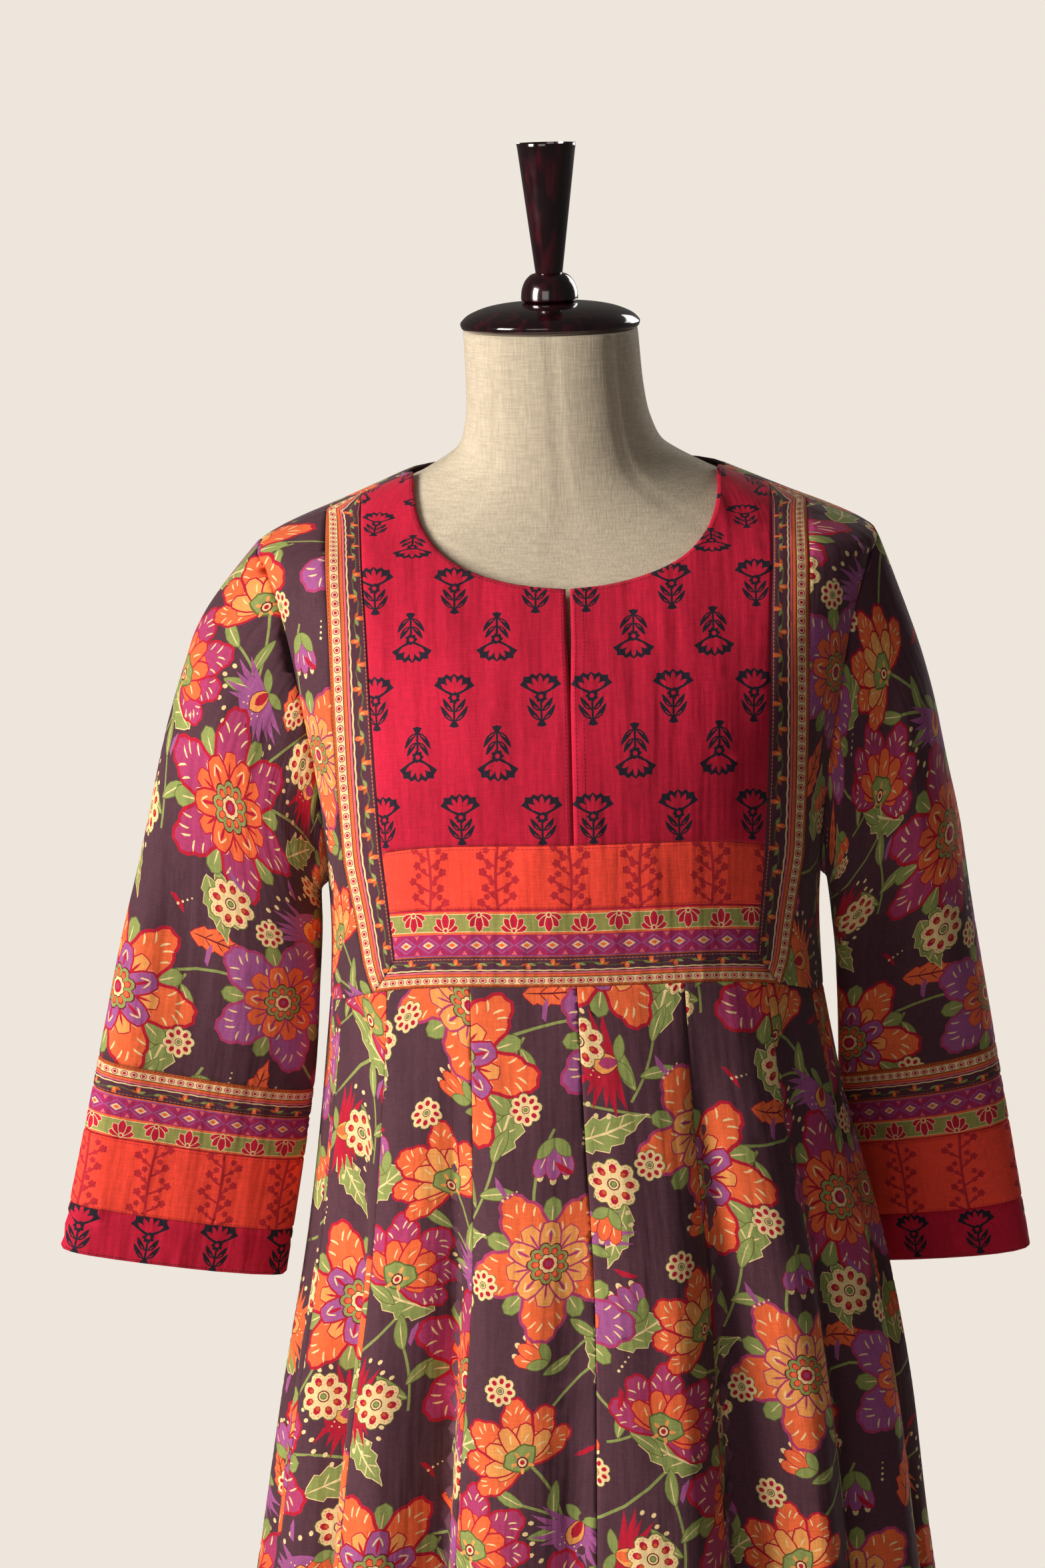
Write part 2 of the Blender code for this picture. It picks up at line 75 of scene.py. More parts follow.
# Rings of the dress form's torso, from its flat bottom to its neck
FORM = (
    # z_side, z_front, z_back, half_width, front, back; the neck's rings lean by NECK_LEAN
    (0.780, 0.780, 0.780, 0.142, 0.090, 0.104),
    (0.800, 0.800, 0.800, 0.150, 0.096, 0.112),
    (0.880, 0.880, 0.880, 0.155, 0.099, 0.118),
    (0.970, 0.970, 0.970, 0.146, 0.095, 0.106),
    (1.050, 1.050, 1.050, 0.131, 0.090, 0.090),
    (1.110, 1.110, 1.110, 0.134, 0.100, 0.089),
    (1.160, 1.160, 1.160, 0.142, 0.114, 0.094),
    (1.215, 1.215, 1.215, 0.154, 0.128, 0.103),
    (1.262, 1.258, 1.262, 0.163, 0.120, 0.109),
    (1.300, 1.292, 1.300, 0.170, 0.104, 0.108),
    (1.330, 1.318, 1.332, 0.175, 0.088, 0.102),
    (1.352, 1.338, 1.358, 0.177, 0.076, 0.092),
    (1.368, 1.352, 1.376, 0.170, 0.067, 0.082),
    (1.384, 1.366, 1.392, 0.145, 0.060, 0.071),
    (1.396, 1.378, 1.405, 0.115, 0.057, 0.066),
    (1.404, 1.386, 1.412, 0.096, 0.056, 0.063),
    (1.420, 1.404, 1.428, 0.069, 0.055, 0.060),
    (1.438, 1.426, 1.442, 0.060, 0.055, 0.057),
    (1.462, 1.458, 1.464, 0.057, 0.055, 0.056),
    (1.496, 1.496, 1.496, 0.056, 0.055, 0.055),
)
FORM_SHOULDER_ROW = 13  # the first of the rows that carry the cloth
NECK_ROW = 15
NECK_LEAN = -0.0075
SEAT_GAP = 0.0022

# Rings of the bodice's inner face, from the empire seam to the neck
BODICE = (
    # z_side, z_front, z_back, half_width, front, back
    (1.062, 1.092, 1.068, 0.161, 0.119, 0.112),
    (1.110, 1.138, 1.114, 0.159, 0.125, 0.110),
    (1.150, 1.188, 1.154, 0.161, 0.134, 0.111),
    (1.205, 1.232, 1.206, 0.169, 0.141, 0.115),
    (1.255, 1.266, 1.256, 0.179, 0.134, 0.119),
    (1.297, 1.296, 1.297, 0.187, 0.118, 0.118),
    (1.328, 1.321, 1.331, 0.194, 0.100, 0.111),
    (1.350, 1.340, 1.358, 0.199, 0.084, 0.100),
    (1.364, 1.354, 1.377, 0.197, 0.072, 0.086),
    *(
        tuple(value + SEAT_GAP for value in row)
        for row in FORM[FORM_SHOULDER_ROW : FORM_SHOULDER_ROW + 4]
    ),
)

# Half widths of the yoke's inner panel and of the frame beside it, seen from the front, by level
YOKE_LEVELS = (0, 0.5, 2, 3, 5, 7, 9, 12)
YOKE_HALF_WIDTHS = (0.112, 0.115, 0.121, 0.123, 0.126, 0.129, 0.131, 0.131)
FRAME_WIDTHS = (0.018, 0.021, 0.026, 0.026, 0.025, 0.024, 0.023, 0.023)

# Rings of the skirt's inner face, from the empire seam to the hem
SKIRT = (
    # z_side, z_front, z_back, half_width, front, back, fold_depth, shift_x
    (1.062, 1.092, 1.068, 0.161, 0.119, 0.112, 0.000, 0.000),
    (0.980, 0.998, 0.984, 0.176, 0.137, 0.129, 0.009, 0.003),
    (0.890, 0.898, 0.891, 0.197, 0.160, 0.152, 0.022, 0.007),
    (0.790, 0.793, 0.790, 0.219, 0.184, 0.176, 0.034, 0.006),
    (0.680, 0.681, 0.680, 0.237, 0.208, 0.200, 0.043, 0.004),
    (0.520, 0.520, 0.520, 0.265, 0.240, 0.234, 0.054, 0.003),
    (0.350, 0.350, 0.350, 0.293, 0.272, 0.267, 0.064, 0.002),
    (HEM_Z, HEM_Z, HEM_Z, 0.318, 0.300, 0.296, 0.074, 0.000),
)

# The skirt's hanging folds; share is of the ring's fold depth
FOLDS = (
    # angle, half_width_deg, share, slant_deg
    (-3, 8, 0.26, 2),
    (24, 9, 1.00, 4),
    (50, 10, 0.72, 3),
    (77, 10, 0.86, 2),
    (102, 10, 0.70, 0),
    (128, 11, 1.00, -3),
    (153, 10, 0.80, -2),
    (178, 11, 0.92, 0),
    (204, 10, 0.84, 3),
    (231, 10, 0.94, 2),
    (257, 11, 0.78, 0),
    (282, 10, 0.72, -2),
    (306, 10, 0.88, -3),
    (333, 9, 1.00, -5),
)

# Rings of each sleeve's inner face, from the hem to the armhole.
# The low and high points are the ring's ends at -X and +X; blend is its share of the armhole's own loop.
SLEEVE_RINGS = {
    "right": (
        # low_x, low_y, low_z, high_x, high_y, high_z, half_depth, blend
        (0.178, 0.118, 0.836, 0.303, 0.050, 0.861, 0.020, 0.00),
        (0.180, 0.072, 0.984, 0.277, 0.030, 1.009, 0.031, 0.00),
        (0.177, 0.040, 1.066, 0.262, 0.014, 1.096, 0.041, 0.00),
        (0.171, 0.014, 1.108, 0.253, 0.004, 1.165, 0.049, 0.00),
        (0.1682, 0.004, 1.1303, 0.2457, 0.000, 1.2055, 0.055, 0.06),
        (0.1683, 0.000, 1.1343, 0.2489, 0.000, 1.2194, 0.060, 0.35),
        (0.1678, 0.000, 1.1353, 0.2520, 0.000, 1.2240, 0.060, 0.70),
        (0.1640, 0.000, 1.1460, 0.2030, 0.000, 1.3640, 0.080, 1.00),
    ),
    "left": (
        (-0.343, -0.040, 0.903, -0.200, -0.005, 0.872, 0.018, 0.00),
        (-0.313, -0.030, 1.030, -0.178, 0.004, 0.998, 0.028, 0.00),
        (-0.296, -0.020, 1.106, -0.171, 0.002, 1.072, 0.038, 0.00),
        (-0.281, -0.010, 1.165, -0.168, 0.000, 1.108, 0.046, 0.00),
        (-0.2723, -0.004, 1.2130, -0.1682, 0.000, 1.1300, 0.053, 0.06),
        (-0.2766, 0.000, 1.2424, -0.1683, 0.000, 1.1343, 0.059, 0.35),
        (-0.2887, 0.000, 1.2573, -0.1678, 0.000, 1.1353, 0.060, 0.70),
        (-0.2030, 0.000, 1.3640, -0.1640, 0.000, 1.1460, 0.080, 1.00),
    ),
}
SLEEVE_RADIUS = 0.05
SIDES = {"left": -1, "right": 1}

# Turned wood on top of the neck: radius and height of each point above the neck
NECK_TOP_Z = 1.496
CAP_PROFILE = (
    (0.0520, 0.0000),
    (0.0560, 0.0012),
    (0.0576, 0.0040),
    (0.0568, 0.0065),
    (0.0520, 0.0105),
    (0.0420, 0.0145),
    (0.0300, 0.0168),
    (0.0160, 0.0178),
)
FINIAL_PROFILE = (
    (0.0158, 0.0000),
    (0.0180, 0.0012),
    (0.0182, 0.0040),
    (0.0176, 0.0085),
    (0.0155, 0.0135),
    (0.0120, 0.0172),
    (0.0086, 0.0186),
    (0.0090, 0.0210),
    (0.0182, 0.0950),
    (0.0184, 0.0968),
    (0.0170, 0.0985),
    (0.0090, 0.0995),
)

# Stand
POLE_RADIUS = 0.0125
FOOT_PROFILE = (
    (0.1850, 0.0000),
    (0.1850, 0.0100),
    (0.1780, 0.0160),
    (0.0600, 0.0240),
    (0.0260, 0.0300),
    (0.0220, 0.0520),
)



# ---------------------------------------------------------------- shapes of the cloth
def rows_at(table, levels):
    """The table's rows at levels between its rows, on a smooth curve through them."""
    table = np.array(table, dtype=float)
    last = len(table) - 1
    start = np.clip(np.asarray(levels).astype(int), 0, last - 1)
    share = np.clip(levels - start, 0, 1)[:, None]
    before, here, after, beyond = (
        table[np.clip(start + step, 0, last)] for step in (-1, 0, 1, 2)
    )
    slope_here, slope_after = (after - before) / 2, (beyond - here) / 2
    square, cube = share**2, share**3
    return (
        here * (2 * cube - 3 * square + 1)
        + slope_here * (cube - 2 * square + share)
        + after * (3 * square - 2 * cube)
        + slope_after * (cube - square)
    )


def section_points(rows, angles):
    across, along = np.sin(angles), np.cos(angles)
    depth = np.where(along > 0, rows[:, 4], rows[:, 5])
    z_end = np.where(along > 0, rows[:, 1], rows[:, 2])
    return np.stack(
        (
            rows[:, 3] * across * (1 + FULLNESS * along**2),
            -depth * along * (1 + FULLNESS * across**2),
            rows[:, 0] + (z_end - rows[:, 0]) * (1 - across**4),
        ),
        axis=1,
    )


def bodice_points(angles, levels):
    return section_points(rows_at(BODICE, levels), angles)


def skirt_points(angles, heights):
    """The skirt, by height counted in rows from the hem, drawn in at its folds."""
    last = len(SKIRT) - 1
    levels = last - heights
    rows = rows_at(SKIRT, levels)
    points = section_points(rows, angles)
    drawn_in = np.zeros(len(angles))
    for fold_deg, half_width_deg, share, slant_deg in FOLDS:
        middle = fold_deg + slant_deg * levels / last
        away = (np.degrees(angles) - middle + 180) % 360 - 180
        drawn_in += rows[:, 6] * share * 1.2 * np.exp(-(np.abs(away / half_width_deg / 0.74) ** 1.6))
    # small soft flutes between the big folds, growing towards the hem
    flutes = np.sin(29 * angles + 1.3 * levels) + 0.6 * np.sin(47 * angles - 0.9 * levels + 2)
    drawn_in += 1.6 * MM * (flutes + 1.2) * np.clip(levels / last, 0, 1) ** 0.6
    inward = points * (1, 1, 0)
    inward /= np.linalg.norm(inward, axis=1)[:, None]
    points = points - inward * drawn_in[:, None]
    points[:, 0] += rows[:, 7]
    return points


def outward(surface, across, levels):
    """The direction square to a surface at each of its points."""
    step = 1e-4
    sideways = surface(across + step, levels) - surface(across - step, levels)
    upward = surface(across, levels + step) - surface(across, levels - step)
    normal = np.cross(sideways, upward)
    return normal / np.maximum(np.linalg.norm(normal, axis=1), 1e-12)[:, None]


def armhole_points(side, turns):
    """The armhole's loop, where a sleeve's edge is sewn to the bodice's."""
    height = (1 + side * np.sin(turns)) / 2
    levels = UNDERARM_LEVEL + (SHOULDER_TIP_LEVEL - UNDERARM_LEVEL) * height
    opening = ARMHOLE_ANGLE * np.abs(np.cos(turns)) ** ARMHOLE_ROUNDNESS
    angles = side * (SIDE_SEAM - np.copysign(opening, np.cos(turns)))
    return bodice_points(angles, levels) + outward(bodice_points, angles, levels) * 0.4 * MM


def sleeve_surface(side_name):
    """A sleeve: oval rings from the hem up, becoming the armhole's loop at the top."""

    def points(turns, levels):
        rows = rows_at(SLEEVE_RINGS[side_name], levels)
        low, high = rows[:, 0:3], rows[:, 3:6]
        reach = (high - low) / 2
        back = np.stack((-reach[:, 1], reach[:, 0], np.zeros(len(rows))), axis=1)
        back *= (rows[:, 6] / np.linalg.norm(back, axis=1))[:, None]
        across, along = np.sin(turns)[:, None], np.cos(turns)[:, None]
        # a long soft hollow down the front, where an empty sleeve falls in
        hollow = np.exp(-(((np.degrees(turns)[:, None] + 28 + 180) % 360 - 180) / 26) ** 2)
        hollow = hollow * np.clip(1 - np.abs(levels - 2.2) / 2.6, 0, 1)[:, None] * 0.30
        ring = (
            (low + high) / 2
            + reach * across * (1 + FULLNESS * along**2)
            - back * along * (1 + FULLNESS * across**2) * (1 - hollow)
        )
        blend = np.clip(rows[:, 7:8], 0, 1)
        return ring * (1 - blend) + armhole_points(SIDES[side_name], turns) * blend

    return points


def angle_at(half_width, level):
    """The angle at which the bodice's ring is this far from the middle, seen from the front."""
    angles = np.linspace(0, SIDE_SEAM, 181)
    reach = np.sin(angles) * (1 + FULLNESS * np.cos(angles) ** 2)
    ring = rows_at(BODICE, np.array([level]))[0][3]
    return float(np.interp(half_width / ring, reach, angles))


def seam_angle(level):
    return SEAM / 2 / rows_at(BODICE, np.array([level]))[0][3]


def panel_edge(level):
    return angle_at(np.interp(level, YOKE_LEVELS, YOKE_HALF_WIDTHS), level) - seam_angle(level)


def mitre_edge(level):
    """The slanted end of the frame's bottom strip."""
    past = FRAME_WIDTHS[0] * max(0.0, 1 - level / FRAME_TOP_LEVEL)
    return angle_at(np.interp(level, YOKE_LEVELS, YOKE_HALF_WIDTHS) + past, level) - seam_angle(level)


def frame_inner(level):
    return mitre_edge(level) + 2 * seam_angle(level)


def frame_outer(level):
    half = np.interp(level, YOKE_LEVELS, np.add(YOKE_HALF_WIDTHS, FRAME_WIDTHS))
    return angle_at(half, level) - seam_angle(level)


def side_front_inner(level):
    return frame_outer(level) + 2 * seam_angle(level)


def armhole_angle(level):
    share = (level - UNDERARM_LEVEL) / (SHOULDER_TIP_LEVEL - UNDERARM_LEVEL)
    if not 0 < share < 1:
        return 0.0
    return ARMHOLE_ANGLE * (2 * math.sqrt(share * (1 - share))) ** ARMHOLE_ROUNDNESS


def side_front_outer(level):
    return SIDE_SEAM - armhole_angle(level) - seam_angle(level)


def slit_angle(level):
    opened = min(max((level - SLIT_BOTTOM_LEVEL) / 1.2, 0.0), 1.0)
    return (SEAM / 2 + SLIT_HALF_GAP * opened) / rows_at(BODICE, np.array([level]))[0][3]


def centre_edge(level):
    """The middle edge of one half of the yoke: the placket, the open slit above it, the neckline."""
    if level <= FRONT_NECK_LEVEL:
        return slit_angle(level)
    drop = (SHOULDER_NECK_LEVEL - level) / (SHOULDER_NECK_LEVEL - FRONT_NECK_LEVEL)
    half = NECK_HALF_WIDTH * (1 - min(max(drop, 0.0), 1.0) ** NECK_ROUNDNESS) ** 0.5
    return max(angle_at(half, level), slit_angle(FRONT_NECK_LEVEL))


def mirrored(edge):
    return lambda level: -edge(level)


def on_side(side, inner, outer):
    """A piece's two edges, from -X to +X, on one side of the front or the other."""
    return (inner, outer) if side > 0 else (mirrored(outer), mirrored(inner))


# ---------------------------------------------------------------- cutting flat and draping
class Cloth:
    """A surface laid flat: x is the length along a ring from a middle line, y the length up the cloth.

    evened is the share of each column's own length that gives way to its ring's mean, which keeps the flat
    cloth of a bent tube from folding over itself.
    """

    def __init__(self, surface, angles, levels, middle, evened=0.0):
        self.surface, self.angles, self.levels = surface, angles, levels
        grid = surface(np.tile(angles, len(levels)), np.repeat(levels, len(angles)))
        grid = grid.reshape(len(levels), len(angles), 3)
        across = np.linalg.norm(np.diff(grid, axis=1), axis=2)
        up = np.linalg.norm(np.diff(grid, axis=0), axis=2)
        x = np.concatenate((np.zeros((len(levels), 1)), np.cumsum(across, axis=1)), axis=1)
        x -= np.array([np.interp(middle, angles, row) for row in x])[:, None]
        y = np.concatenate((np.zeros((1, len(angles))), np.cumsum(up, axis=0)))
        y = y * (1 - evened) + y.mean(axis=1, keepdims=True) * evened
        self.grid = np.stack((x, y), axis=2)
        self.middle = middle

    def flat(self, angles, levels):
        """Where points given by angle and level lie on the flat cloth."""
        a = (np.asarray(angles, float) - self.angles[0]) / (self.angles[1] - self.angles[0])
        b = (np.asarray(levels, float) - self.levels[0]) / (self.levels[1] - self.levels[0])
        i = np.clip(a.astype(int), 0, len(self.angles) - 2)
        j = np.clip(b.astype(int), 0, len(self.levels) - 2)
        a, b = (a - i)[:, None], (b - j)[:, None]
        low = self.grid[j, i] * (1 - a) + self.grid[j, i + 1] * a
        high = self.grid[j + 1, i] * (1 - a) + self.grid[j + 1, i + 1] * a
        return low * (1 - b) + high * b

    def read_off(self, points):
        """A first guess at the angle and level of points, off the nearest column and then the nearest row."""
        angles = np.full(len(points), self.middle)
        levels = np.zeros(len(points))
        for _ in range(3):
            columns = np.rint((angles - self.angles[0]) / (self.angles[1] - self.angles[0])).astype(int)
            for column in np.unique(columns):
                on = columns == column
                levels[on] = np.interp(points[on, 1], self.grid[:, column, 1], self.levels)
            rows = np.rint((levels - self.levels[0]) / (self.levels[1] - self.levels[0])).astype(int)
            for row in np.unique(rows):
                on = rows == row
                angles[on] = np.interp(points[on, 0], self.grid[row, :, 0], self.angles)
        return angles, levels

    def draped(self, points):
        """The angle and level of points on the flat cloth, found by closing in on them."""
        angles, levels = self.read_off(points)
        step_a, step_l = self.angles[1] - self.angles[0], self.levels[1] - self.levels[0]
        for _ in range(5):
            here = self.flat(angles, levels)
            over = (self.flat(angles + step_a, levels) - here) / step_a
            up = (self.flat(angles, levels + step_l) - here) / step_l
            miss = points - here
            area = over[:, 0] * up[:, 1] - over[:, 1] * up[:, 0]
            area = np.where(np.abs(area) < 1e-9, 1e-9, area)
            angles = angles + np.clip((miss[:, 0] * up[:, 1] - miss[:, 1] * up[:, 0]) / area, -0.3, 0.3)
            levels = levels + np.clip((over[:, 0] * miss[:, 1] - over[:, 1] * miss[:, 0]) / area, -0.7, 0.7)
        return (
            np.clip(angles, self.angles[0], self.angles[-1]),
            np.clip(levels, self.levels[0], self.levels[-1]),
        )


def outline_between(low_edge, high_edge, levels, top=None):
    """The rim of a piece, anticlockwise, as angles and levels. top gives the level of a shaped upper edge."""
    across = np.linspace(0, 1, 22)
    first, last = levels[0], levels[-1]
    low, high = low_edge(first), high_edge(first)
    rim = [(low + (high - low) * share, first) for share in across[:-1]]
    rim += [(high_edge(level), level) for level in levels[:-1]]
    low, high = low_edge(last), high_edge(last)
    upper = [(high + (low - high) * share, last) for share in across[:-1]]
    if top:
        upper = [(angle, top(angle)) for angle, _ in upper]
    rim += upper
    rim += [(low_edge(level), level) for level in levels[:0:-1]]
    return np.array(rim)


def starts_of(outlines):
    counts = np.array([len(outline) for outline in outlines])
    return np.cumsum(counts) - counts


def areas_of(outlines):
    """The area inside each outline, negative where it runs clockwise."""
    starts = starts_of(outlines)
    x, y = np.concatenate(outlines).T
    following = np.arange(1, len(x) + 1)
    following[np.append(starts[1:], len(x)) - 1] = starts
    return np.add.reduceat(x * y[following] - x[following] * y, starts) / 2


def inside(points, rim):
    """Which points lie inside a rim."""
    found = np.zeros(len(points), bool)
    for (x0, y0), (x1, y1) in zip(rim, np.roll(rim, -1, axis=0)):
        if y0 == y1:
            continue
        crosses = (y0 > points[:, 1]) != (y1 > points[:, 1])
        at = x0 + (points[:, 1] - y0) / (y1 - y0) * (x1 - x0)
        found ^= crosses & (points[:, 0] < at)
    return found


def distance_to(points, rim):
    """How far each point is from a rim, to half a millimetre."""
    places = []
    for a, b in zip(rim, np.roll(rim, -1, axis=0)):
        steps = max(1, int(np.linalg.norm(b - a) / (0.8 * MM)))
        places.append(a + (b - a) * np.linspace(0, 1, steps, endpoint=False)[:, None])
    places = np.concatenate(places)
    nearest = KDTree(len(places))
    for number, place in enumerate(places.tolist()):
        nearest.insert((*place, 0.0), number)
    nearest.balance()
    return np.array([nearest.find((x, y, 0.0))[2] for x, y in points.tolist()])


def lattice_points(rim, spacing):
    """A staggered lattice of points inside a rim, with a closer row along it."""
    low, high = rim.min(axis=0), rim.max(axis=0)
    rows = []
    for number, y in enumerate(np.arange(low[1], high[1], spacing * 0.87)):
        x = np.arange(low[0] + spacing / 2 * (number % 2), high[0], spacing)
        rows.append(np.stack((x, np.full(len(x), y)), axis=1))
    points = np.concatenate(rows)
    points = points[inside(points, rim)]
    points = points[distance_to(points, rim) > SEAM_ROLL + spacing * 0.35]
    side = np.roll(rim, -1, axis=0) - np.roll(rim, 1, axis=0)
    side /= np.maximum(np.linalg.norm(side, axis=1), 1e-12)[:, None]
    row = rim + np.stack((-side[:, 1], side[:, 0]), axis=1) * SEAM_ROLL
    row = row[inside(row, rim)]
    row = row[distance_to(row, rim) > SEAM_ROLL * 0.8]
    return np.concatenate((points, row))


def rim_of(faces):
    """The corners round the outside of a sheet of faces, in order."""
    corners = np.array(faces)
    a, b = corners.ravel(), np.roll(corners, -1, axis=1).ravel()
    span = corners.max() + 1
    open_sides = ~np.isin(a * span + b, b * span + a)
    following = dict(zip(a[open_sides].tolist(), b[open_sides].tolist()))
    start = corner = min(following)
    loop = []
    while True:
        loop.append(corner)
        corner = following[corner]
        if corner == start:
            return loop


def cut_sheet(rim, shapes, spacing):
    """Triangles of a flat piece: corners, faces and the topmost shape that each face lies in."""
    outlines = [rim, *shapes]
    starts = starts_of(outlines).tolist()
    faces = [list(range(start, start + len(outline))) for start, outline in zip(starts, outlines)]
    corners = np.concatenate((*outlines, lattice_points(rim, spacing)))
    flat, _, cut, _, _, owners = delaunay_2d_cdt(
        [Vector(point) for point in corners.tolist()], [], faces, 1, 2e-6, True
    )
    chosen = [(face, own) for face, own in zip(cut, owners) if 0 in own]
    used = sorted({corner for face, _ in chosen for corner in face})
    number_of = dict(zip(used, range(len(used))))
    flat = np.array([flat[corner][:] for corner in used])
    kept = [[number_of[corner] for corner in face] for face, _ in chosen]
    a, b, c = (flat[[face[k] for face in kept]] for k in (0, 1, 2))
    sizes = np.abs(np.cross(b - a, c - a)) / 2
    counts = np.array([len(own) for _, own in chosen])
    owner = np.concatenate([own for _, own in chosen])
    # a shape that claims more cloth than it covers has leaked, and is left out
    claimed = np.bincount(owner, weights=np.repeat(sizes, counts), minlength=len(outlines))
    covered = np.abs(areas_of(outlines))
    owner[claimed[owner] > covered[owner] * 1.3 + 1e-7] = 0
    first = np.concatenate(([0], np.cumsum(counts)[:-1]))
    return flat, kept, np.maximum.reduceat(owner, first).tolist()


def draped_places(cloth, flat, rim, lower):
    """Where flat points go on the draped cloth, turned in along the seams."""
    angles, levels = cloth.draped(flat)
    lifted = WALL - lower - SEAM_DIP * np.clip(1 - distance_to(flat, rim) / SEAM_ROLL, 0, 1) ** 2
    return cloth.surface(angles, levels) + outward(cloth.surface, angles, levels) * lifted[:, None]


def printed_cloth(node, cloth, rim_params, shapes, ground, spacing=0.009):
    """Cuts a piece, lays its print's outlines into it, lines it with its own reverse and drapes it."""
    rim = cloth.flat(rim_params[:, 0], rim_params[:, 1])
    rim = rim[np.linalg.norm(rim - np.roll(rim, 1, axis=0), axis=1) > 0.25 * MM]
    low, high = rim.min(axis=0), rim.max(axis=0)
    inks, outlines = [ground], []
    if shapes:
        drawn = [shape for _, shape in shapes]
        starts, points = starts_of(drawn), np.concatenate(drawn)
        within = (np.maximum.reduceat(points, starts) > low).all(axis=1)
        within &= (np.minimum.reduceat(points, starts) < high).all(axis=1)
        for (ink, shape), touches, area in zip(shapes, within, areas_of(drawn)):
            if touches:
                inks.append(ink)
                outlines.append(shape if area > 0 else shape[::-1])
    flat, faces, owners = cut_sheet(rim, outlines, spacing)
    loop = rim_of(faces)
    edge = flat[loop]
    under_flat, under_faces, _ = cut_sheet(edge, [], spacing * 1.3)
    under_loop = rim_of(under_faces)
    nearest = {tuple(np.round(under_flat[corner], 6)): corner for corner in under_loop}
    count = len(flat)
    pairs = [(corner, count + nearest[tuple(np.round(flat[corner], 6))]) for corner in loop]
    walls = [[b, a, under_a, under_b] for (a, under_a), (b, under_b) in zip(pairs, pairs[1:] + pairs[:1])]
    under = [[corner + count for corner in face[::-1]] for face in under_faces]
    places = np.concatenate(
        (draped_places(cloth, flat, rim, 0.0), draped_places(cloth, under_flat, rim, THICKNESS))
    )
    every_flat = np.concatenate((flat, under_flat))
    every_face = faces + walls + under
    mesh = bpy.data.meshes.new(f"{node}_cloth")
    mesh.from_pydata(places.tolist(), [], every_face)
    colours = np.array([INK_COLOURS[inks[owner]] for owner in owners], dtype=np.float32)
    plain = np.tile(np.array(INK_COLOURS[ground], dtype=np.float32), (len(walls) + len(under), 1))
    corner_count = np.array([len(face) for face in every_face])
    attribute = mesh.color_attributes.new("print", "BYTE_COLOR", "CORNER")
    every_colour = np.repeat(np.concatenate((colours, plain)), corner_count, axis=0)
    attribute.data.foreach_set("color_srgb", every_colour.ravel())
    layer = mesh.uv_layers.new(name="cut")
    layer.data.foreach_set("uv", every_flat[np.concatenate(every_face)].ravel())
    mesh.shade_smooth()
    mesh.materials.append(MATERIALS["printed_cotton"])
    mesh.materials.append(MATERIALS["cotton_reverse"])
    slots = np.zeros(len(every_face), dtype=np.int32)
    slots[len(faces) + len(walls):] = 1
    mesh.polygons.foreach_set("material_index", slots)
    made = bpy.data.objects.new(f"{node}_cloth", mesh)
    bpy.context.scene.collection.objects.link(made)
    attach(made, "root")
    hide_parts(node)
    area = abs(float(areas_of([rim])[0]))


# ---------------------------------------------------------------- inks and printed motifs, in millimetres
INKS = {
    "aubergine": (82, 50, 61),
    "crimson": (196, 26, 58),
    "coral": (250, 74, 56),
    "berry": (188, 40, 50),
    "navy": (36, 30, 44),
    "lotus_green": (152, 152, 84),
    "lattice_magenta": (168, 40, 92),
    "vine_purple": (84, 46, 62),
    "rust": (196, 92, 44),
    "cream": (236, 206, 150),
    "orange": (236, 104, 58),
    "amber": (236, 156, 84),
    "fuchsia": (172, 58, 104),
    "orchid": (160, 84, 140),
    "red": (180, 24, 50),
    "maroon": (110, 22, 38),
    "leaf": (140, 150, 84),
    "moss": (96, 100, 50),
    "pink": (226, 104, 116),
    "stitch": (70, 24, 36),
    "gold_stitch": (214, 120, 70),
}
INK_COLOURS = {name: tuple(value / 255 for value in ink) + (1.0,) for name, ink in INKS.items()}


def circle(radius, count=12, squash=1.0):
    turn = np.linspace(0, math.tau, count, endpoint=False)
    return np.stack((radius * np.cos(turn), radius * squash * np.sin(turn)), axis=1)


def scalloped(radius, lobes, depth=0.12, steps=5):
    """A rim of rounded lobes."""
    turn = np.linspace(0, math.tau, lobes * steps, endpoint=False)
    reach = radius * (1 - depth + depth * np.abs(np.sin(turn * lobes / 2)) ** 0.7)
    return np.stack((reach * np.cos(turn), reach * np.sin(turn)), axis=1)


def petal(length, width, waves=0, depth=0.06, count=22, fullness=0.5, point=0.0):
    """A petal that grows up from the origin, its tip waved or drawn out to a point."""
    turn = np.linspace(0, math.tau, count, endpoint=False)
    rise = (1 - np.cos(turn)) / 2
    x = width / 2 * np.sin(turn) * (1 - fullness + fullness * rise) / (1 - fullness * 0.32)
    points = np.stack((x, length * rise), axis=1)
    if waves:
        middle = np.array((0, length * 0.62))
        tip = np.clip(rise - 0.25, 0, 1)
        points = middle + (points - middle) * (1 + depth * tip * np.cos(waves * turn))[:, None]
    points[:, 1] += point * length * np.exp(-(((turn - math.pi) / 0.34) ** 2))
    return points


def drop(length, width, count=8):
    return petal(length, width, count=count, fullness=0.35)


def toothed_leaf(length, width, teeth=5, lean=0.12, bend=0.0):
    """A leaf up from the origin with pointed teeth along both sides."""
    right = []
    for tooth in range(teeth):
        low, high = tooth / teeth, (tooth + 0.72) / teeth
        for share, reach in ((low, 0.72), (high, 1.0)):
            right.append((math.sin(math.pi * min(share + 0.08, 1) ** 0.8) * reach, share + 0.04))
    right = np.array([(0.03, 0.0), *right])
    side = np.stack((right[:, 0] * width / 2, right[:, 1] * length), axis=1)
    other = side[::-1] * (-1, 1) + (0, length * lean / teeth)
    points = np.concatenate((side, [(0, length * 1.03)], other))
    return bent(points, bend)


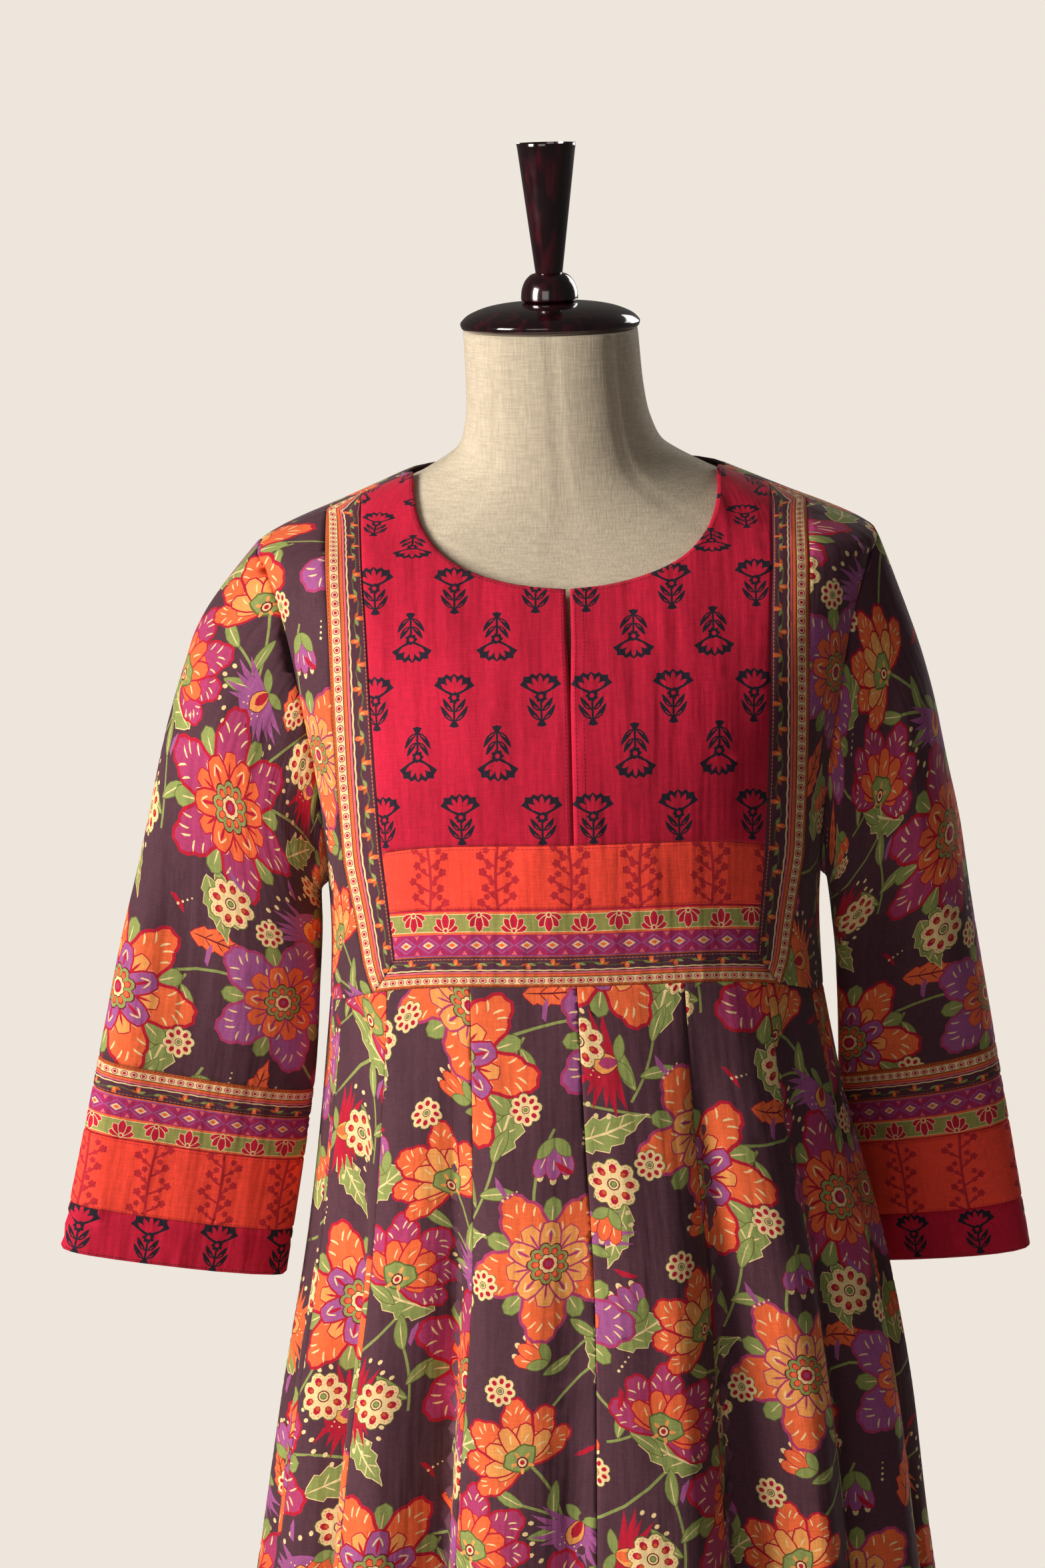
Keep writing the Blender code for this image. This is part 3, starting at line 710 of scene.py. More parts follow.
def plain_leaf(length, width, bend=0.0, count=16):
    turn = np.linspace(0, math.tau, count, endpoint=False)
    points = np.stack((width / 2 * np.sin(turn), length * (1 - np.cos(turn)) / 2), axis=1)
    points[:, 0] *= np.sin(np.clip(points[:, 1] / length, 0, 1) * math.pi) ** 0.3
    return bent(points, bend)


def bent(points, bend):
    """Curves points to one side as they rise; bend is millimetres aside per millimetre up, squared."""
    return points + np.stack((bend * points[:, 1] ** 2, np.zeros(len(points))), axis=1)


def grown(points, amount):
    """An outline made larger by an amount all round."""
    along = np.roll(points, -1, axis=0) - np.roll(points, 1, axis=0)
    along /= np.maximum(np.linalg.norm(along, axis=1), 1e-9)[:, None]
    return points + amount * np.stack((along[:, 1], -along[:, 0]), axis=1)


def rimmed(ink, outline, edge, width):
    """An outline in one ink with a rim of another round it."""
    return [(edge, grown(outline, width)), (ink, outline)]


def stem(*places, width=1.6, steps=9):
    """A thin curved stem through three places."""
    start, middle, end = (np.array(place, float) for place in places)
    share = np.linspace(0, 1, steps)[:, None]
    line = start * (1 - share) ** 2 + 2 * middle * share * (1 - share) + end * share**2
    along = np.gradient(line, axis=0)
    along /= np.linalg.norm(along, axis=1)[:, None]
    side = np.stack((-along[:, 1], along[:, 0]), axis=1) * width / 2
    return np.concatenate((line - side, (line + side)[::-1]))


def box(x0, y0, x1, y1):
    return np.array(((x0, y0), (x1, y0), (x1, y1), (x0, y1)), float)


def moved(motif, x=0.0, y=0.0, turn=0.0, size=1.0, flip=False):
    """A motif, as pairs of ink and outline, placed on the cloth."""
    c, s = math.cos(math.radians(turn)), math.sin(math.radians(turn))
    placed = []
    for ink, points in motif:
        points = np.asarray(points, float) * size
        if flip:
            points = points[::-1] * (-1, 1)
        placed.append((ink, points @ np.array(((c, s), (-s, c))) + (x, y)))
    return placed


def around(motif, count, start=0.0, reach=0.0):
    """A motif repeated round a centre."""
    marks = []
    for number in range(count):
        turn = start + 360 / count * number
        marks += moved(moved(motif, y=reach), turn=turn)
    return marks


def comma(length, width, side=1):
    """A curled fleck."""
    return bent(drop(length, width, 6), side * 0.5 / length)


def great_petal(length, width, ink, edge, fleck):
    """One large petal: a dark rim, a waved blade with a point, a paler heart and rows of curled flecks."""
    blade = petal(length, width, waves=9, depth=0.13, count=28, point=0.07)
    heart = petal(length * 0.60, width * 0.46, waves=5, depth=0.10, count=12)
    marks = rimmed(ink, blade, edge, length * 0.045)
    for side in (-1, 1):
        for across, rise, size in ((0.14, 0.78, 0.14), (0.29, 0.66, 0.13), (0.24, 0.46, 0.10)):
            curl = comma(length * size, length * 0.034, side)
            marks += moved([(fleck, curl)], side * across * width, length * rise, -side * 14)
    marks.append((fleck, comma(length * 0.14, length * 0.036) + (0, length * 0.80)))
    marks += rimmed("amber" if ink == "orange" else "orange", heart, edge, length * 0.016)
    marks.append((edge, drop(length * 0.34, length * 0.035, 6) + (0, length * 0.16)))
    return marks


def great_blossom(radius, petals, outer, edge, inner, start=0.0):
    """A many-petalled fancy flower, rimmed, veined and flecked, with green leaflets between its petals."""
    halfway = start + 180 / petals
    leaflet = petal(radius * 0.86, radius * 0.34, waves=7, depth=0.10, count=14, point=0.08)
    vein = ("cream", drop(radius * 0.30, radius * 0.022, 6) + (0, radius * 0.50))
    marks = around([*rimmed("leaf", leaflet, "moss", 0.7), vein], petals, halfway)
    marks += around(great_petal(radius, radius * 3.05 / petals, outer, edge, "cream"), petals, start)
    small = petal(radius * 0.56, radius * 0.30, waves=5, depth=0.14, count=12, point=0.05)
    between = rimmed(inner, small, edge, radius * 0.026)
    between.append((edge, drop(radius * 0.20, radius * 0.05, 6) + (0, radius * 0.26)))
    for side in (1, -1):
        place = (-side * radius * 0.06, radius * 0.36)
        between.append(("cream", comma(radius * 0.13, radius * 0.03, side) + place))
    marks += around(between, petals, halfway)
    for ink, share in (("maroon", 0.30), ("leaf", 0.28)):
        marks.append((ink, scalloped(radius * share, 9, 0.2, 4)))
    seed = ("red", drop(radius * 0.13, radius * 0.10, 6))
    germ = ("orange", drop(radius * 0.11, radius * 0.075, 6))
    marks += around([seed, germ], 9, 11, radius * 0.11)
    for ink, share in (("maroon", 0.145), ("cream", 0.13)):
        marks.append((ink, scalloped(radius * share, 8, 0.14, 3)))
    return marks + [("red", circle(radius * 0.085, 9)), ("fuchsia", circle(radius * 0.045, 7))]


def opened_blossom(radius, outer, edge, inner):
    """A flower seen from its side: a fan of petals over a green cup."""
    marks = []
    blade = great_petal(radius, radius * 0.52, outer, edge, "cream")
    for turn in (-92, 92, -58, 58, -24, 24):
        marks += moved(blade, turn=turn, size=1 - abs(turn) / 500)
    for turn in (-74, 74, -38, 38, 0):
        small = petal(radius * 0.60, radius * 0.27, waves=5, depth=0.12, count=12, point=0.06)
        fleck = ("cream", comma(radius * 0.15, radius * 0.032) + (0, radius * 0.32))
        marks += moved([*rimmed(inner, small, edge, radius * 0.026), fleck], turn=turn)
    cup = petal(radius * 0.36, radius * 0.56, waves=7, depth=0.16, count=24) + (0, -radius * 0.13)
    marks += rimmed("leaf", cup, "moss", radius * 0.026)
    marks += around([("amber", drop(radius * 0.13, radius * 0.06, 7))], 5, -68, radius * 0.06)
    eye = (("maroon", 0.095, 10), ("cream", 0.07, 9), ("red", 0.04, 7))
    return marks + [(ink, circle(radius * share, count)) for ink, share, count in eye]


def rosette(radius):
    """A cream flower of eight round petals with red ovals, and fine dots on the larger ones."""
    seed = [("red", circle(radius * 0.15, 7, 1.3))]
    if radius > 12:
        seed += [("rust", circle(radius * 0.085, 5, 1.1) + (0, -radius * 0.07)),
                 ("rust", circle(radius * 0.030, 4) + (0, radius * 0.28))]
        for side in (-1, 1):
            seed.append(("rust", circle(radius * 0.030, 4) + (side * radius * 0.14, radius * 0.20)))
    marks = [("moss", scalloped(radius * 1.05, 8, 0.2, 4)), ("cream", scalloped(radius, 8, 0.2, 4))]
    marks += around(seed, 8, 22.5, radius * 0.62)
    eye = (("maroon", 0.25, 10), ("cream", 0.20, 10), ("moss", 0.14, 8), ("leaf", 0.10, 6))
    return marks + [(ink, circle(radius * share, count)) for ink, share, count in eye]


def leaf_sprig(length, ink="leaf", vein="cream", bend=0.0):
    blade = toothed_leaf(length, length * 0.42, 5, bend=bend)
    marks = rimmed(ink, blade, "cream" if ink == "leaf" else "red", length * 0.012)
    marks.append((vein, bent(drop(length * 0.86, length * 0.03, 8), bend)))
    for side in (-1, 1):
        for rise in (0.25, 0.45, 0.63):
            rib = moved([(vein, drop(length * 0.17, length * 0.02, 6))], 0, length * rise, -side * 42)
            marks += [(rib_ink, bent(points, bend)) for rib_ink, points in rib]
    return marks


def slim_leaves(length):
    """A stalk with three smooth leaves."""
    marks = [("leaf", stem((0, 0), (length * 0.1, length * 0.5), (0, length), width=1.7))]
    for rise, turn, size in ((0.2, 55, 0.62), (0.42, -50, 0.60), (0.98, 12, 0.55)):
        blade = plain_leaf(length * size, length * 0.20, 0.4 / length)
        vein = ("cream", bent(drop(length * size * 0.8, 0.9, 6), 0.4 / length))
        marks += moved([*rimmed("leaf", blade, "moss", 0.5), vein], 0, length * rise, turn)
    return marks


def fringed_bud(length, ink, heart):
    """A fan-shaped bud with a fringe of curled points and two sides of cream dots."""
    marks = []
    for number, turn in enumerate(range(-60, 61, 12)):
        curl = comma(length * (0.98 if number % 2 else 0.86), length * 0.15, 1 if turn < 0 else -1)
        marks += moved([(ink, curl)], turn=turn)
    marks += [(ink, petal(length * 0.70, length * 0.86, fullness=0.75))]
    for side in (-1, 1):
        for across, rise in ((0.12, 0.50), (0.24, 0.42), (0.20, 0.56)):
            marks.append(("cream", circle(length * 0.020, 5) + (side * across * length, rise * length)))
    marks += rimmed("amber", petal(length * 0.46, length * 0.42, count=12, point=0.1), "maroon", 0.6)
    marks.append((heart, petal(length * 0.34, length * 0.24, count=10, point=0.1)))
    for number, turn in enumerate(range(-66, 67, 11)):
        dot = circle(length * 0.046, 6, 1.35) + (0, length * (1.16 if number % 2 else 1.06))
        marks += moved([("cream", dot)], turn=turn)
    for turn in (-108, 108):
        marks += moved(rimmed("leaf", plain_leaf(length * 0.5, length * 0.2), "moss", 0.5), turn=turn)
    return marks


def tulip(length, ink):
    """A small drooping bell with green sepals and cream stamens."""
    marks = []
    for aside in (-0.32, 0, 0.32):
        tip = (aside * length, length * (1.02 - abs(aside) * 0.3))
        marks.append(("cream", circle(length * 0.085, 8, 1.3) + tip))
    fleck = ("cream", drop(length * 0.3, 1.0, 6) + (0, length * 0.5))
    for turn in (-24, 24, 0):
        marks += moved([*rimmed(ink, petal(length, length * 0.42, count=14), "red", 0.5), fleck], turn=turn)
    for turn in (-40, 40):
        marks += moved(rimmed("leaf", plain_leaf(length * 0.62, length * 0.3), "moss", 0.5), turn=turn)
    return marks


REPEAT = (330.0, 250.0)  # width and height of the print's repeat


def all_over_repeat():
    """One repeat of the all-over floral."""
    marks = []
    for line in (
        ((64, 56), (110, 110), (150, 166)), ((64, 56), (120, 80), (206, 50)),
        ((206, 50), (270, 30), (330, 90)), ((150, 166), (200, 210), (262, 186)),
        ((262, 186), (270, 130), (318, 110)), ((26, 176), (60, 150), (64, 96)),
        ((26, 176), (60, 230), (116, 244)), ((262, 186), (290, 226), (300, 246)),
        ((206, 50), (190, 90), (214, 128)),
    ):
        marks.append(("leaf", stem(*line, width=1.9)))
    for length, ink, x, y, turn, lean in (
        (54, "leaf", 118, 40, -66, 0.0), (54, "leaf", 20, 86, 64, 0.002),
        (58, "leaf", 176, 112, -20, 0.0), (44, "orange", 246, 96, -14, 0.0),
        (48, "leaf", 298, 166, -66, -0.002), (52, "leaf", 96, 204, 34, 0.0),
        (42, "orange", 196, 216, -98, 0.0), (50, "leaf", 270, 70, 12, 0.002),
        (40, "orange", 8, 130, 108, 0.0), (44, "leaf", 148, 6, 160, 0.0),
        (46, "leaf", 296, 18, -148, 0.0), (40, "orange", 100, 116, 20, 0.0),
        (44, "leaf", 42, 6, 200, 0.0), (42, "leaf", 228, 226, 20, 0.0),
    ):
        marks += moved(leaf_sprig(length, ink, "maroon" if ink == "orange" else "cream", lean), x, y, turn)
    for length, x, y, turn in (
        (42, 158, 70, -24), (40, 290, 104, -64), (40, 66, 124, 62),
        (38, 196, 188, 160), (42, 6, 24, 6), (36, 254, 2, 120),
    ):
        marks += moved(slim_leaves(length), x, y, turn)
    for length, ink, heart, x, y, turn in (
        (34, "red", "fuchsia", 152, 96, 100), (33, "orchid", "orange", 284, 226, 4),
        (32, "orange", "red", 82, 236, -76), (31, "red", "orange", 292, 34, -100),
        (32, "orchid", "red", 70, 128, 150),
    ):
        marks += moved(fringed_bud(length, ink, heart), x, y, turn)
    for length, ink, x, y, turn in (
        (26, "orchid", 214, 122, 176), (23, "orange", 266, 112, -150), (25, "orchid", 98, 146, 20),
        (22, "orange", 138, 2, 160), (24, "orchid", 316, 182, 30), (22, "orange", 44, 232, 60),
    ):
        marks += moved(tulip(length, ink), x, y, turn)
    for x, y, blossom in (
        (64, 54, (54, 6, "fuchsia", "red", "orange", 8)),
        (208, 44, (46, 5, "orange", "fuchsia", "amber", 30)),
        (150, 170, (52, 6, "orange", "red", "orchid", 20)),
        (262, 180, (46, 5, "orchid", "fuchsia", "orange", 52)),
    ):
        marks += moved(great_blossom(*blossom), x, y)
    marks += moved(opened_blossom(42, "fuchsia", "red", "orange"), 326, 112, -30)
    marks += moved(opened_blossom(40, "orange", "red", "amber"), 30, 170, 34)
    for radius, x, y, turn in (
        (16.5, 128, 106, 0), (16, 316, 32, 12), (10.5, 196, 142, 30), (10, 100, 128, 8),
        (16.5, 224, 242, 10), (10, 250, 228, 0), (16, 142, 18, 20), (10, 166, 30, 14),
        (9.5, 282, 84, 0), (10, 14, 214, 16),
    ):
        marks += moved(rosette(radius), x, y, turn)
    for x, y, turn in (
        (112, 8, 30), (226, 98, 80), (78, 176, 140), (300, 140, 200), (6, 66, 10), (184, 86, 60),
        (210, 196, 20), (316, 210, 100), (70, 4, 70), (180, 238, 250), (92, 190, 15), (270, 10, 330),
    ):
        marks += moved([("red" if turn > 75 else "orchid", comma(14, 4.6))], x, y, turn)
    # short rows of cream dots in the open ground, as a block printer fills it
    for x, y, turn in (
        (180, 84, 20), (232, 116, 70), (92, 172, -30), (300, 150, 40),
        (14, 92, 10), (118, 222, 60), (248, 8, -50), (186, 232, 15),
    ):
        for number in range(4):
            dot = circle(1.15 - 0.15 * number, 5) + (number * 3.6, number * 0.9)
            marks += moved([("cream", dot)], x, y, turn)
    return [(ink, points * MM, points.min(axis=0) * MM, points.max(axis=0) * MM) for ink, points in marks]


def within(points, rim):
    """Whether every point lies inside a rim."""
    x, y = points[:, 0:1], points[:, 1:2]
    x0, y0 = rim.T
    x1, y1 = np.roll(rim, -1, axis=0).T
    rise = np.where(y1 == y0, 1, y1 - y0)
    crossed = ((y0 > y) != (y1 > y)) & (x < x0 + (y - y0) / rise * (x1 - x0))
    return bool((crossed.sum(axis=1) % 2 == 1).all())


def uncovered(marks):
    """The repeat's marks without those that lie wholly under a single later one."""
    neighbours = ((0, 0), (1, 0), (-1, 0), (0.5, 1), (-0.5, 1), (0.5, -1), (-0.5, -1))
    shifts = [np.array(repeats) * REPEAT * MM for repeats in neighbours]
    least = np.array([mark[2] for mark in marks])
    most = np.array([mark[3] for mark in marks])

    def covered(number):
        _, outline, low, high = marks[number]
        for shift in shifts:
            over = (least[number + 1:] + shift <= low) & (most[number + 1:] + shift >= high)
            later = np.nonzero(over.all(axis=1))[0] + number + 1
            if any(within(outline, marks[other][1] + shift) for other in later):
                return True
        return False

    return [mark for number, mark in enumerate(marks) if not covered(number)]


FLORAL = uncovered(all_over_repeat())


def floral(low, high, shift=(0.0, 0.0)):
    """The all-over floral over a stretch of cloth, from a shifted start in millimetres."""
    width, height = (side * MM for side in REPEAT)
    start_x, start_y = shift[0] * MM, shift[1] * MM

    def repeats(first, last, side):
        return range(math.floor(first / side) - 1, math.ceil(last / side) + 1)

    starts = []
    for row in repeats(low[1] - start_y, high[1] - start_y, height):
        drift = start_x + (row % 2) * width / 2
        for column in repeats(low[0] - drift, high[0] - drift, width):
            starts.append((column * width + drift, row * height + start_y))
    # leaf by leaf and then flower by flower, so that no repeat's leaves lie on its neighbour's flowers
    marks = []
    for ink, points, least, most in FLORAL:
        for x, y in starts:
            across = most[0] + x > low[0] and least[0] + x < high[0]
            if across and most[1] + y > low[1] and least[1] + y < high[1]:
                marks.append((ink, points + (x, y)))
    return marks


def carnation():
    """The yoke's block-printed flower: a notched fan over a ringed eye, two pairs of leaves and a foot."""
    half = ((3.2, 20.0), (13.0, 26.0), (10.6, 28.8), (10.4, 31.6), (7.0, 31.4), (5.0, 33.6), (2.4, 32.0))
    crown = [(0, 18.6), *half, (0, 34.0), *((-x, y) for x, y in half[::-1])]
    marks = [("navy", np.array(crown, float))]
    for turn, length in ((-54, 9.4), (-27, 10.0), (0, 10.6), (27, 10.0), (54, 9.4)):
        marks += moved([("crimson", petal(length, 3.3, count=10, fullness=0.8, point=0.12))], 0, 20.9, turn)
    marks += [("navy", scalloped(4.0, 7, 0.25, 3) + (0, 18.0)), ("crimson", circle(1.5, 8) + (0, 18.2))]
    foot = np.array([(-3.2, 0), (0, -0.9), (3.2, 0), (0.8, 4.0), (-0.8, 4.0)])
    marks += [("navy", box(-0.7, 1.0, 0.7, 15.6)), ("navy", foot)]
    for height, length, turn in ((3.2, 12.2, 60), (9.0, 10.6, 56)):
        for side in (-1, 1):
            blade = plain_leaf(length, 3.5, side * -0.030, 12)
            vein = bent(drop(length * 0.36, 0.8, 5), side * -0.030)
            marks += moved([("navy", blade)], side * 0.4, height, -side * turn)
            marks += moved([("crimson", vein)], side * 1.8, height + 1.0, -side * turn)
    return moved(marks, y=-16.8)


def berry_vine(height):
    """A block-printed stalk of berries, as tall as its band."""
    marks = [("berry", stem((0, 0), (3.0, height * 0.5), (-0.6, height), width=1.9))]
    for number, rise in enumerate((0.02, 0.12, 0.24, 0.36, 0.48, 0.60, 0.72, 0.84)):
        side = -1 if number % 2 else 1
        tip = np.array((side * (11.0 - number % 3 * 1.6), height * rise + 5.0))
        twig = stem((1.0, height * rise - 2), (side * 4, height * rise), tip, width=1.5, steps=5)
        marks.append(("berry", twig))
        for x, y, radius in ((0, 0, 2.9), (-side * 4.0, 3.4, 2.3), (-side * 4.6, -3.4, 1.9)):
            marks.append(("berry", scalloped(radius, 5, 0.3, 3) + tip + (x, y)))
    return marks


def lotus():
    """Five petals over a round eye, as wide as they are tall."""
    marks = []
    blade = rimmed("crimson", petal(9.6, 5.2, count=10, point=0.08), "cream", 0.6)
    blade.append(("red", drop(4.6, 1.0, 5) + (0, 2.4)))
    for turn in (-76, 76, -40, 40, 0):
        marks += moved(blade, turn=turn, size=1.0 - abs(turn) / 420)
    marks += [("cream", circle(1.9, 8)), ("crimson", circle(1.1, 7))]
    return marks


def line_of(ink, start, end, low, high, wave=0.0, pitch=6.0):
    """A printed line along a band, straight or gently waved."""
    steps = max(2, int((end - start) / (pitch / 4 if wave else 9)))
    along = np.linspace(start, end, steps)
    sway = wave * np.sin(along / pitch * math.tau)
    below, above = np.stack((along, low + sway), axis=1), np.stack((along, high + sway), axis=1)
    return (ink, np.concatenate((below, above[::-1])))


def lines_of(start, end, *lines):
    """Straight lines along a band, each with its ink, foot and top."""
    return [line_of(ink, start, end, low, high) for ink, low, high in lines]


STITCH_PITCH, STITCH_LENGTH, STITCH_WIDTH = 2.6, 2.6 * 0.66, 0.45
LOTUS_PRINT_WIDTH = 29.0
FRAME_PRINT_WIDTH = 25.0


def stitches(ink, start, end, height):
    """A row of machine stitches along a band."""
    low, high = height - STITCH_WIDTH / 2, height + STITCH_WIDTH / 2
    return [(ink, box(x, low, x + STITCH_LENGTH, high)) for x in np.arange(start, end, STITCH_PITCH)]


def lotus_print(start, end, width):
    """The narrow border: a lattice of diamonds below a row of lotuses, on its full width."""
    fit = width / LOTUS_PRINT_WIDTH
    marks = lines_of(start, end, ("lattice_magenta", -1, 14.4), ("orange", 0.0, 0.9), ("orchid", 0.9, 1.7))
    for x in np.arange(start - 16, end + 16, 16.0):
        for ink, half, low, high in (
            ("orchid", 8, 2.6, 13.0), ("lattice_magenta", 6.4, 3.7, 11.9), ("orchid", 5.2, 4.9, 10.7),
            ("cream", 3.9, 5.5, 10.1), ("orange", 2.3, 6.5, 9.1),
        ):
            marks.append((ink, np.array(((x - half, 7.8), (x, low), (x + half, 7.8), (x, high)))))
        for y, tip in ((2.0, 4.6), (13.6, 11.0)):
            corners = [(x + 6.2, y), (x + 9.8, y), (x + 8, tip)]
            if tip < y:
                corners[1:] = corners[:0:-1]
            marks.append(("pink", np.array(corners)))
    marks += lines_of(
        start, end, ("orange", 14.2, 15.6), ("cream", 15.6, 16.1), ("lotus_green", 16.1, 26.4),
        ("cream", 26.2, 26.7), ("orange", 26.7, 28.0), ("crimson", 28.0, 30),
    )
    for number, x in enumerate(np.arange(start - 22, end + 22, 22.0)):
        marks += moved(lotus(), x, *((16.6, 0) if number % 2 else (26.1, 180)))
    return [(ink, points * (1, fit)) for ink, points in marks]


def frame_print(start, end, width):
    """The outer border: from its edge, rust, ringed dots on cream, stripes, then a vine on purple."""
    fit = width / FRAME_PRINT_WIDTH
    marks = lines_of(
        start, end, ("rust", -1, 12.6), ("cream", 3.1, 8.9), ("stitch", 8.9, 9.4), ("orange", 10.0, 11.6),
        ("stitch", 11.6, 12.0), ("pink", 12.0, 13.4), ("vine_purple", 13.4, 27),
    )
    marks.append(line_of("cream", start, end, 14.2, 15.2, 0.22, 9))
    for x in np.arange(start - 4, end + 4, 6.2):
        for ink, radius, count in (("fuchsia", 2.5, 9), ("cream", 1.85, 8), ("red", 1.25, 7)):
            marks.append((ink, circle(radius, count) + (x, 6.0)))
    vine = 19.6
    marks.append(line_of("moss", start, end, vine - 0.4, vine + 0.4, 1.9, 31))
    spray = [("orange", drop(5.4, 3.4)), ("amber", drop(3.2, 1.5, 6))]
    spray += moved([("leaf", plain_leaf(5.5, 2.2, count=8))], turn=70)
    spray += moved([("rust", plain_leaf(5.0, 2.0, count=8))], turn=-66)
    for number, x in enumerate(np.arange(start - 12, end + 12, 15.5)):
        side = 1 if number % 2 else -1
        marks += moved(spray, x, vine - side * 1.0, 0 if side > 0 else 180)
    marks += stitches("stitch", start, end, 1.3) + stitches("gold_stitch", start, end, 23.6)
    return [(ink, points * (1, fit)) for ink, points in marks]


# ---------------------------------------------------------------- finishes
MATERIALS = {}


class Finish:
    """A new material, wired from its patterns to its shader."""

    def __init__(self, name, roughness, sheen=0.0, coat=0.0, specular=0.5):
        made = MATERIALS[name] = bpy.data.materials.new(name)
        made.use_nodes = True
        self.nodes, self.links = made.node_tree.nodes, made.node_tree.links
        self.shader = self.nodes["Principled BSDF"].inputs
        for socket, value in {
            "Roughness": roughness,
            "Sheen Weight": sheen,
            "Sheen Roughness": 0.4,
            "Coat Weight": coat,
            "Coat Roughness": 0.06,
            "Specular IOR Level": specular,
        }.items():
            self.shader[socket].default_value = value

    def node(self, kind, sockets=None, **settings):
        """A new node. Each socket takes a plain value or another node's output."""
        made = self.nodes.new("ShaderNode" + kind)
        for setting, value in settings.items():
            setattr(made, setting, value)
        for socket, value in (sockets or {}).items():
            if isinstance(value, bpy.types.NodeSocket):
                self.links.new(value, made.inputs[socket])
            else:
                made.inputs[socket].default_value = value
        return made

    def drives(self, output, socket):
        self.links.new(output, self.shader[socket])

    def noise(self, vector, stretch, detail=3.0):
        place = self.node("Mapping", {"Vector": vector, "Scale": stretch}).outputs["Vector"]
        return self.node("TexNoise", {"Vector": place, "Scale": 1.0, "Detail": detail}).outputs["Fac"]

    def ranged(self, value, low, high):
        sockets = {"Value": value, "From Min": 0.3, "From Max": 0.7, "To Min": low, "To Max": high}
        return self.node("MapRange", sockets).outputs["Result"]

    def multiplied(self, first, second):
        return self.node("Math", {0: first, 1: second}, operation="MULTIPLY").outputs["Value"]

    def shaded(self, colour, amount):
        """A colour made lighter or darker by an amount that varies."""
        return self.node("VectorMath", {0: colour, "Scale": amount}, operation="SCALE").outputs["Vector"]

    def plain(self, colour):
        made = self.node("RGB").outputs[0]
        made.default_value = (*colour, 1)
        return made

    def relief(self, height, strength, distance, below=None):
        """A surface raised by a height, on top of another relief if one is given."""
        sockets = {"Height": height, "Strength": strength, "Distance": distance}
        if below:
            sockets["Normal"] = below
        return self.node("Bump", sockets).outputs["Normal"]


def make_cotton():
    for name, paler in (("printed_cotton", 1.0), ("cotton_reverse", 1.6)):
        cotton = Finish(name, 0.86, sheen=0.10, specular=0.22)
        dye = cotton.node("VertexColor", layer_name="print").outputs["Color"]
        cut = cotton.node("UVMap", uv_map="cut").outputs["UV"]
        warp = cotton.noise(cut, (900, 110, 1))
        weft = cotton.noise(cut, (110, 900, 1))
        blotch = cotton.noise(cut, (26, 9, 1), 4.0)
        threads = cotton.multiplied(cotton.ranged(warp, 0.88, 1.10), cotton.ranged(weft, 0.90, 1.10))
        tone = cotton.multiplied(threads, cotton.ranged(blotch, 0.86 * paler, 1.12 * paler))
        cotton.drives(cotton.shaded(dye, tone), "Base Color")
        creases = cotton.noise(cut, (70, 7, 1), 2.0)
        slack = cotton.noise(cut, (22, 13, 1), 2.0)
        rumpled = cotton.multiplied(cotton.ranged(creases, 0.6, 1.0), cotton.ranged(slack, 0.5, 1.0))
        crumple = cotton.relief(rumpled, 0.55, 0.006)
        cotton.drives(cotton.relief(threads, 0.35, 0.0006, crumple), "Normal")


def make_linen():
    linen = Finish("form_linen", 0.9, sheen=0.15, specular=0.2)
    place = linen.node("TexCoord").outputs["Object"]
    warp = linen.noise(place, (900, 900, 90))
    weft = linen.noise(place, (90, 90, 1100))
    soil = linen.noise(place, (9, 9, 7), 4.0)
    threads = linen.multiplied(linen.ranged(warp, 0.86, 1.08), linen.ranged(weft, 0.86, 1.08))
    tone = linen.multiplied(threads, linen.ranged(soil, 0.92, 1.04))
    linen.drives(linen.shaded(linen.plain((0.62, 0.53, 0.40)), tone), "Base Color")
    linen.drives(linen.relief(threads, 0.5, 0.0006), "Normal")


def make_dark_wood():
    wood = Finish("lacquered_wood", 0.2, coat=1.0)
    place = wood.node("TexCoord").outputs["Object"]
    grain = wood.noise(place, (160, 160, 34), 6.0)
    ramp = wood.node("ValToRGB", {"Fac": grain})
    for stop, position, colour in zip(
        ramp.color_ramp.elements, (0.48, 0.86), ((0.009, 0.002, 0.004, 1), (0.085, 0.004, 0.011, 1))
    ):
        stop.position, stop.color = position, colour
    wood.drives(ramp.outputs["Color"], "Base Color")
    wood.drives(wood.ranged(wood.noise(place, (40, 40, 40), 5.0), 0.08, 0.20), "Roughness")
    wood.drives(wood.relief(grain, 0.06, 0.0004), "Normal")


def make_floor_finish():
    floor = Finish("pale_floor", 0.75)
    cloud = floor.noise(floor.node("TexCoord").outputs["Object"], (3, 3, 3))
    floor.drives(floor.shaded(floor.plain((0.70, 0.65, 0.58)), floor.ranged(cloud, 0.97, 1.03)), "Base Color")


def level_steps(low, high, step):
    return np.linspace(low, high, max(3, int(round((high - low) / step)) + 1))


def seam_levels(low, top):
    """Levels between two ends, closer together where the frame's edges run out at the shoulder seam."""
    levels = [level_steps(low, top, 0.1)]
    for meeting in (SIDE_FRONT_TOP_LEVEL, FRAME_SIDE_TOP_LEVEL):
        close = np.arange(meeting - 0.5, meeting + 0.1, 0.02)
        levels.append(close[close < top - 0.01])
    return np.unique(np.concatenate(levels))


def flat_cloth(surface, low, high, middle, top, columns=181, rows=141, evened=0.0):
    return Cloth(surface, np.linspace(low, high, columns), np.linspace(0, top, rows), middle, evened)


def extent(cloth, rim):
    flat = cloth.flat(rim[:, 0], rim[:, 1])
    return flat.min(axis=0), flat.max(axis=0)


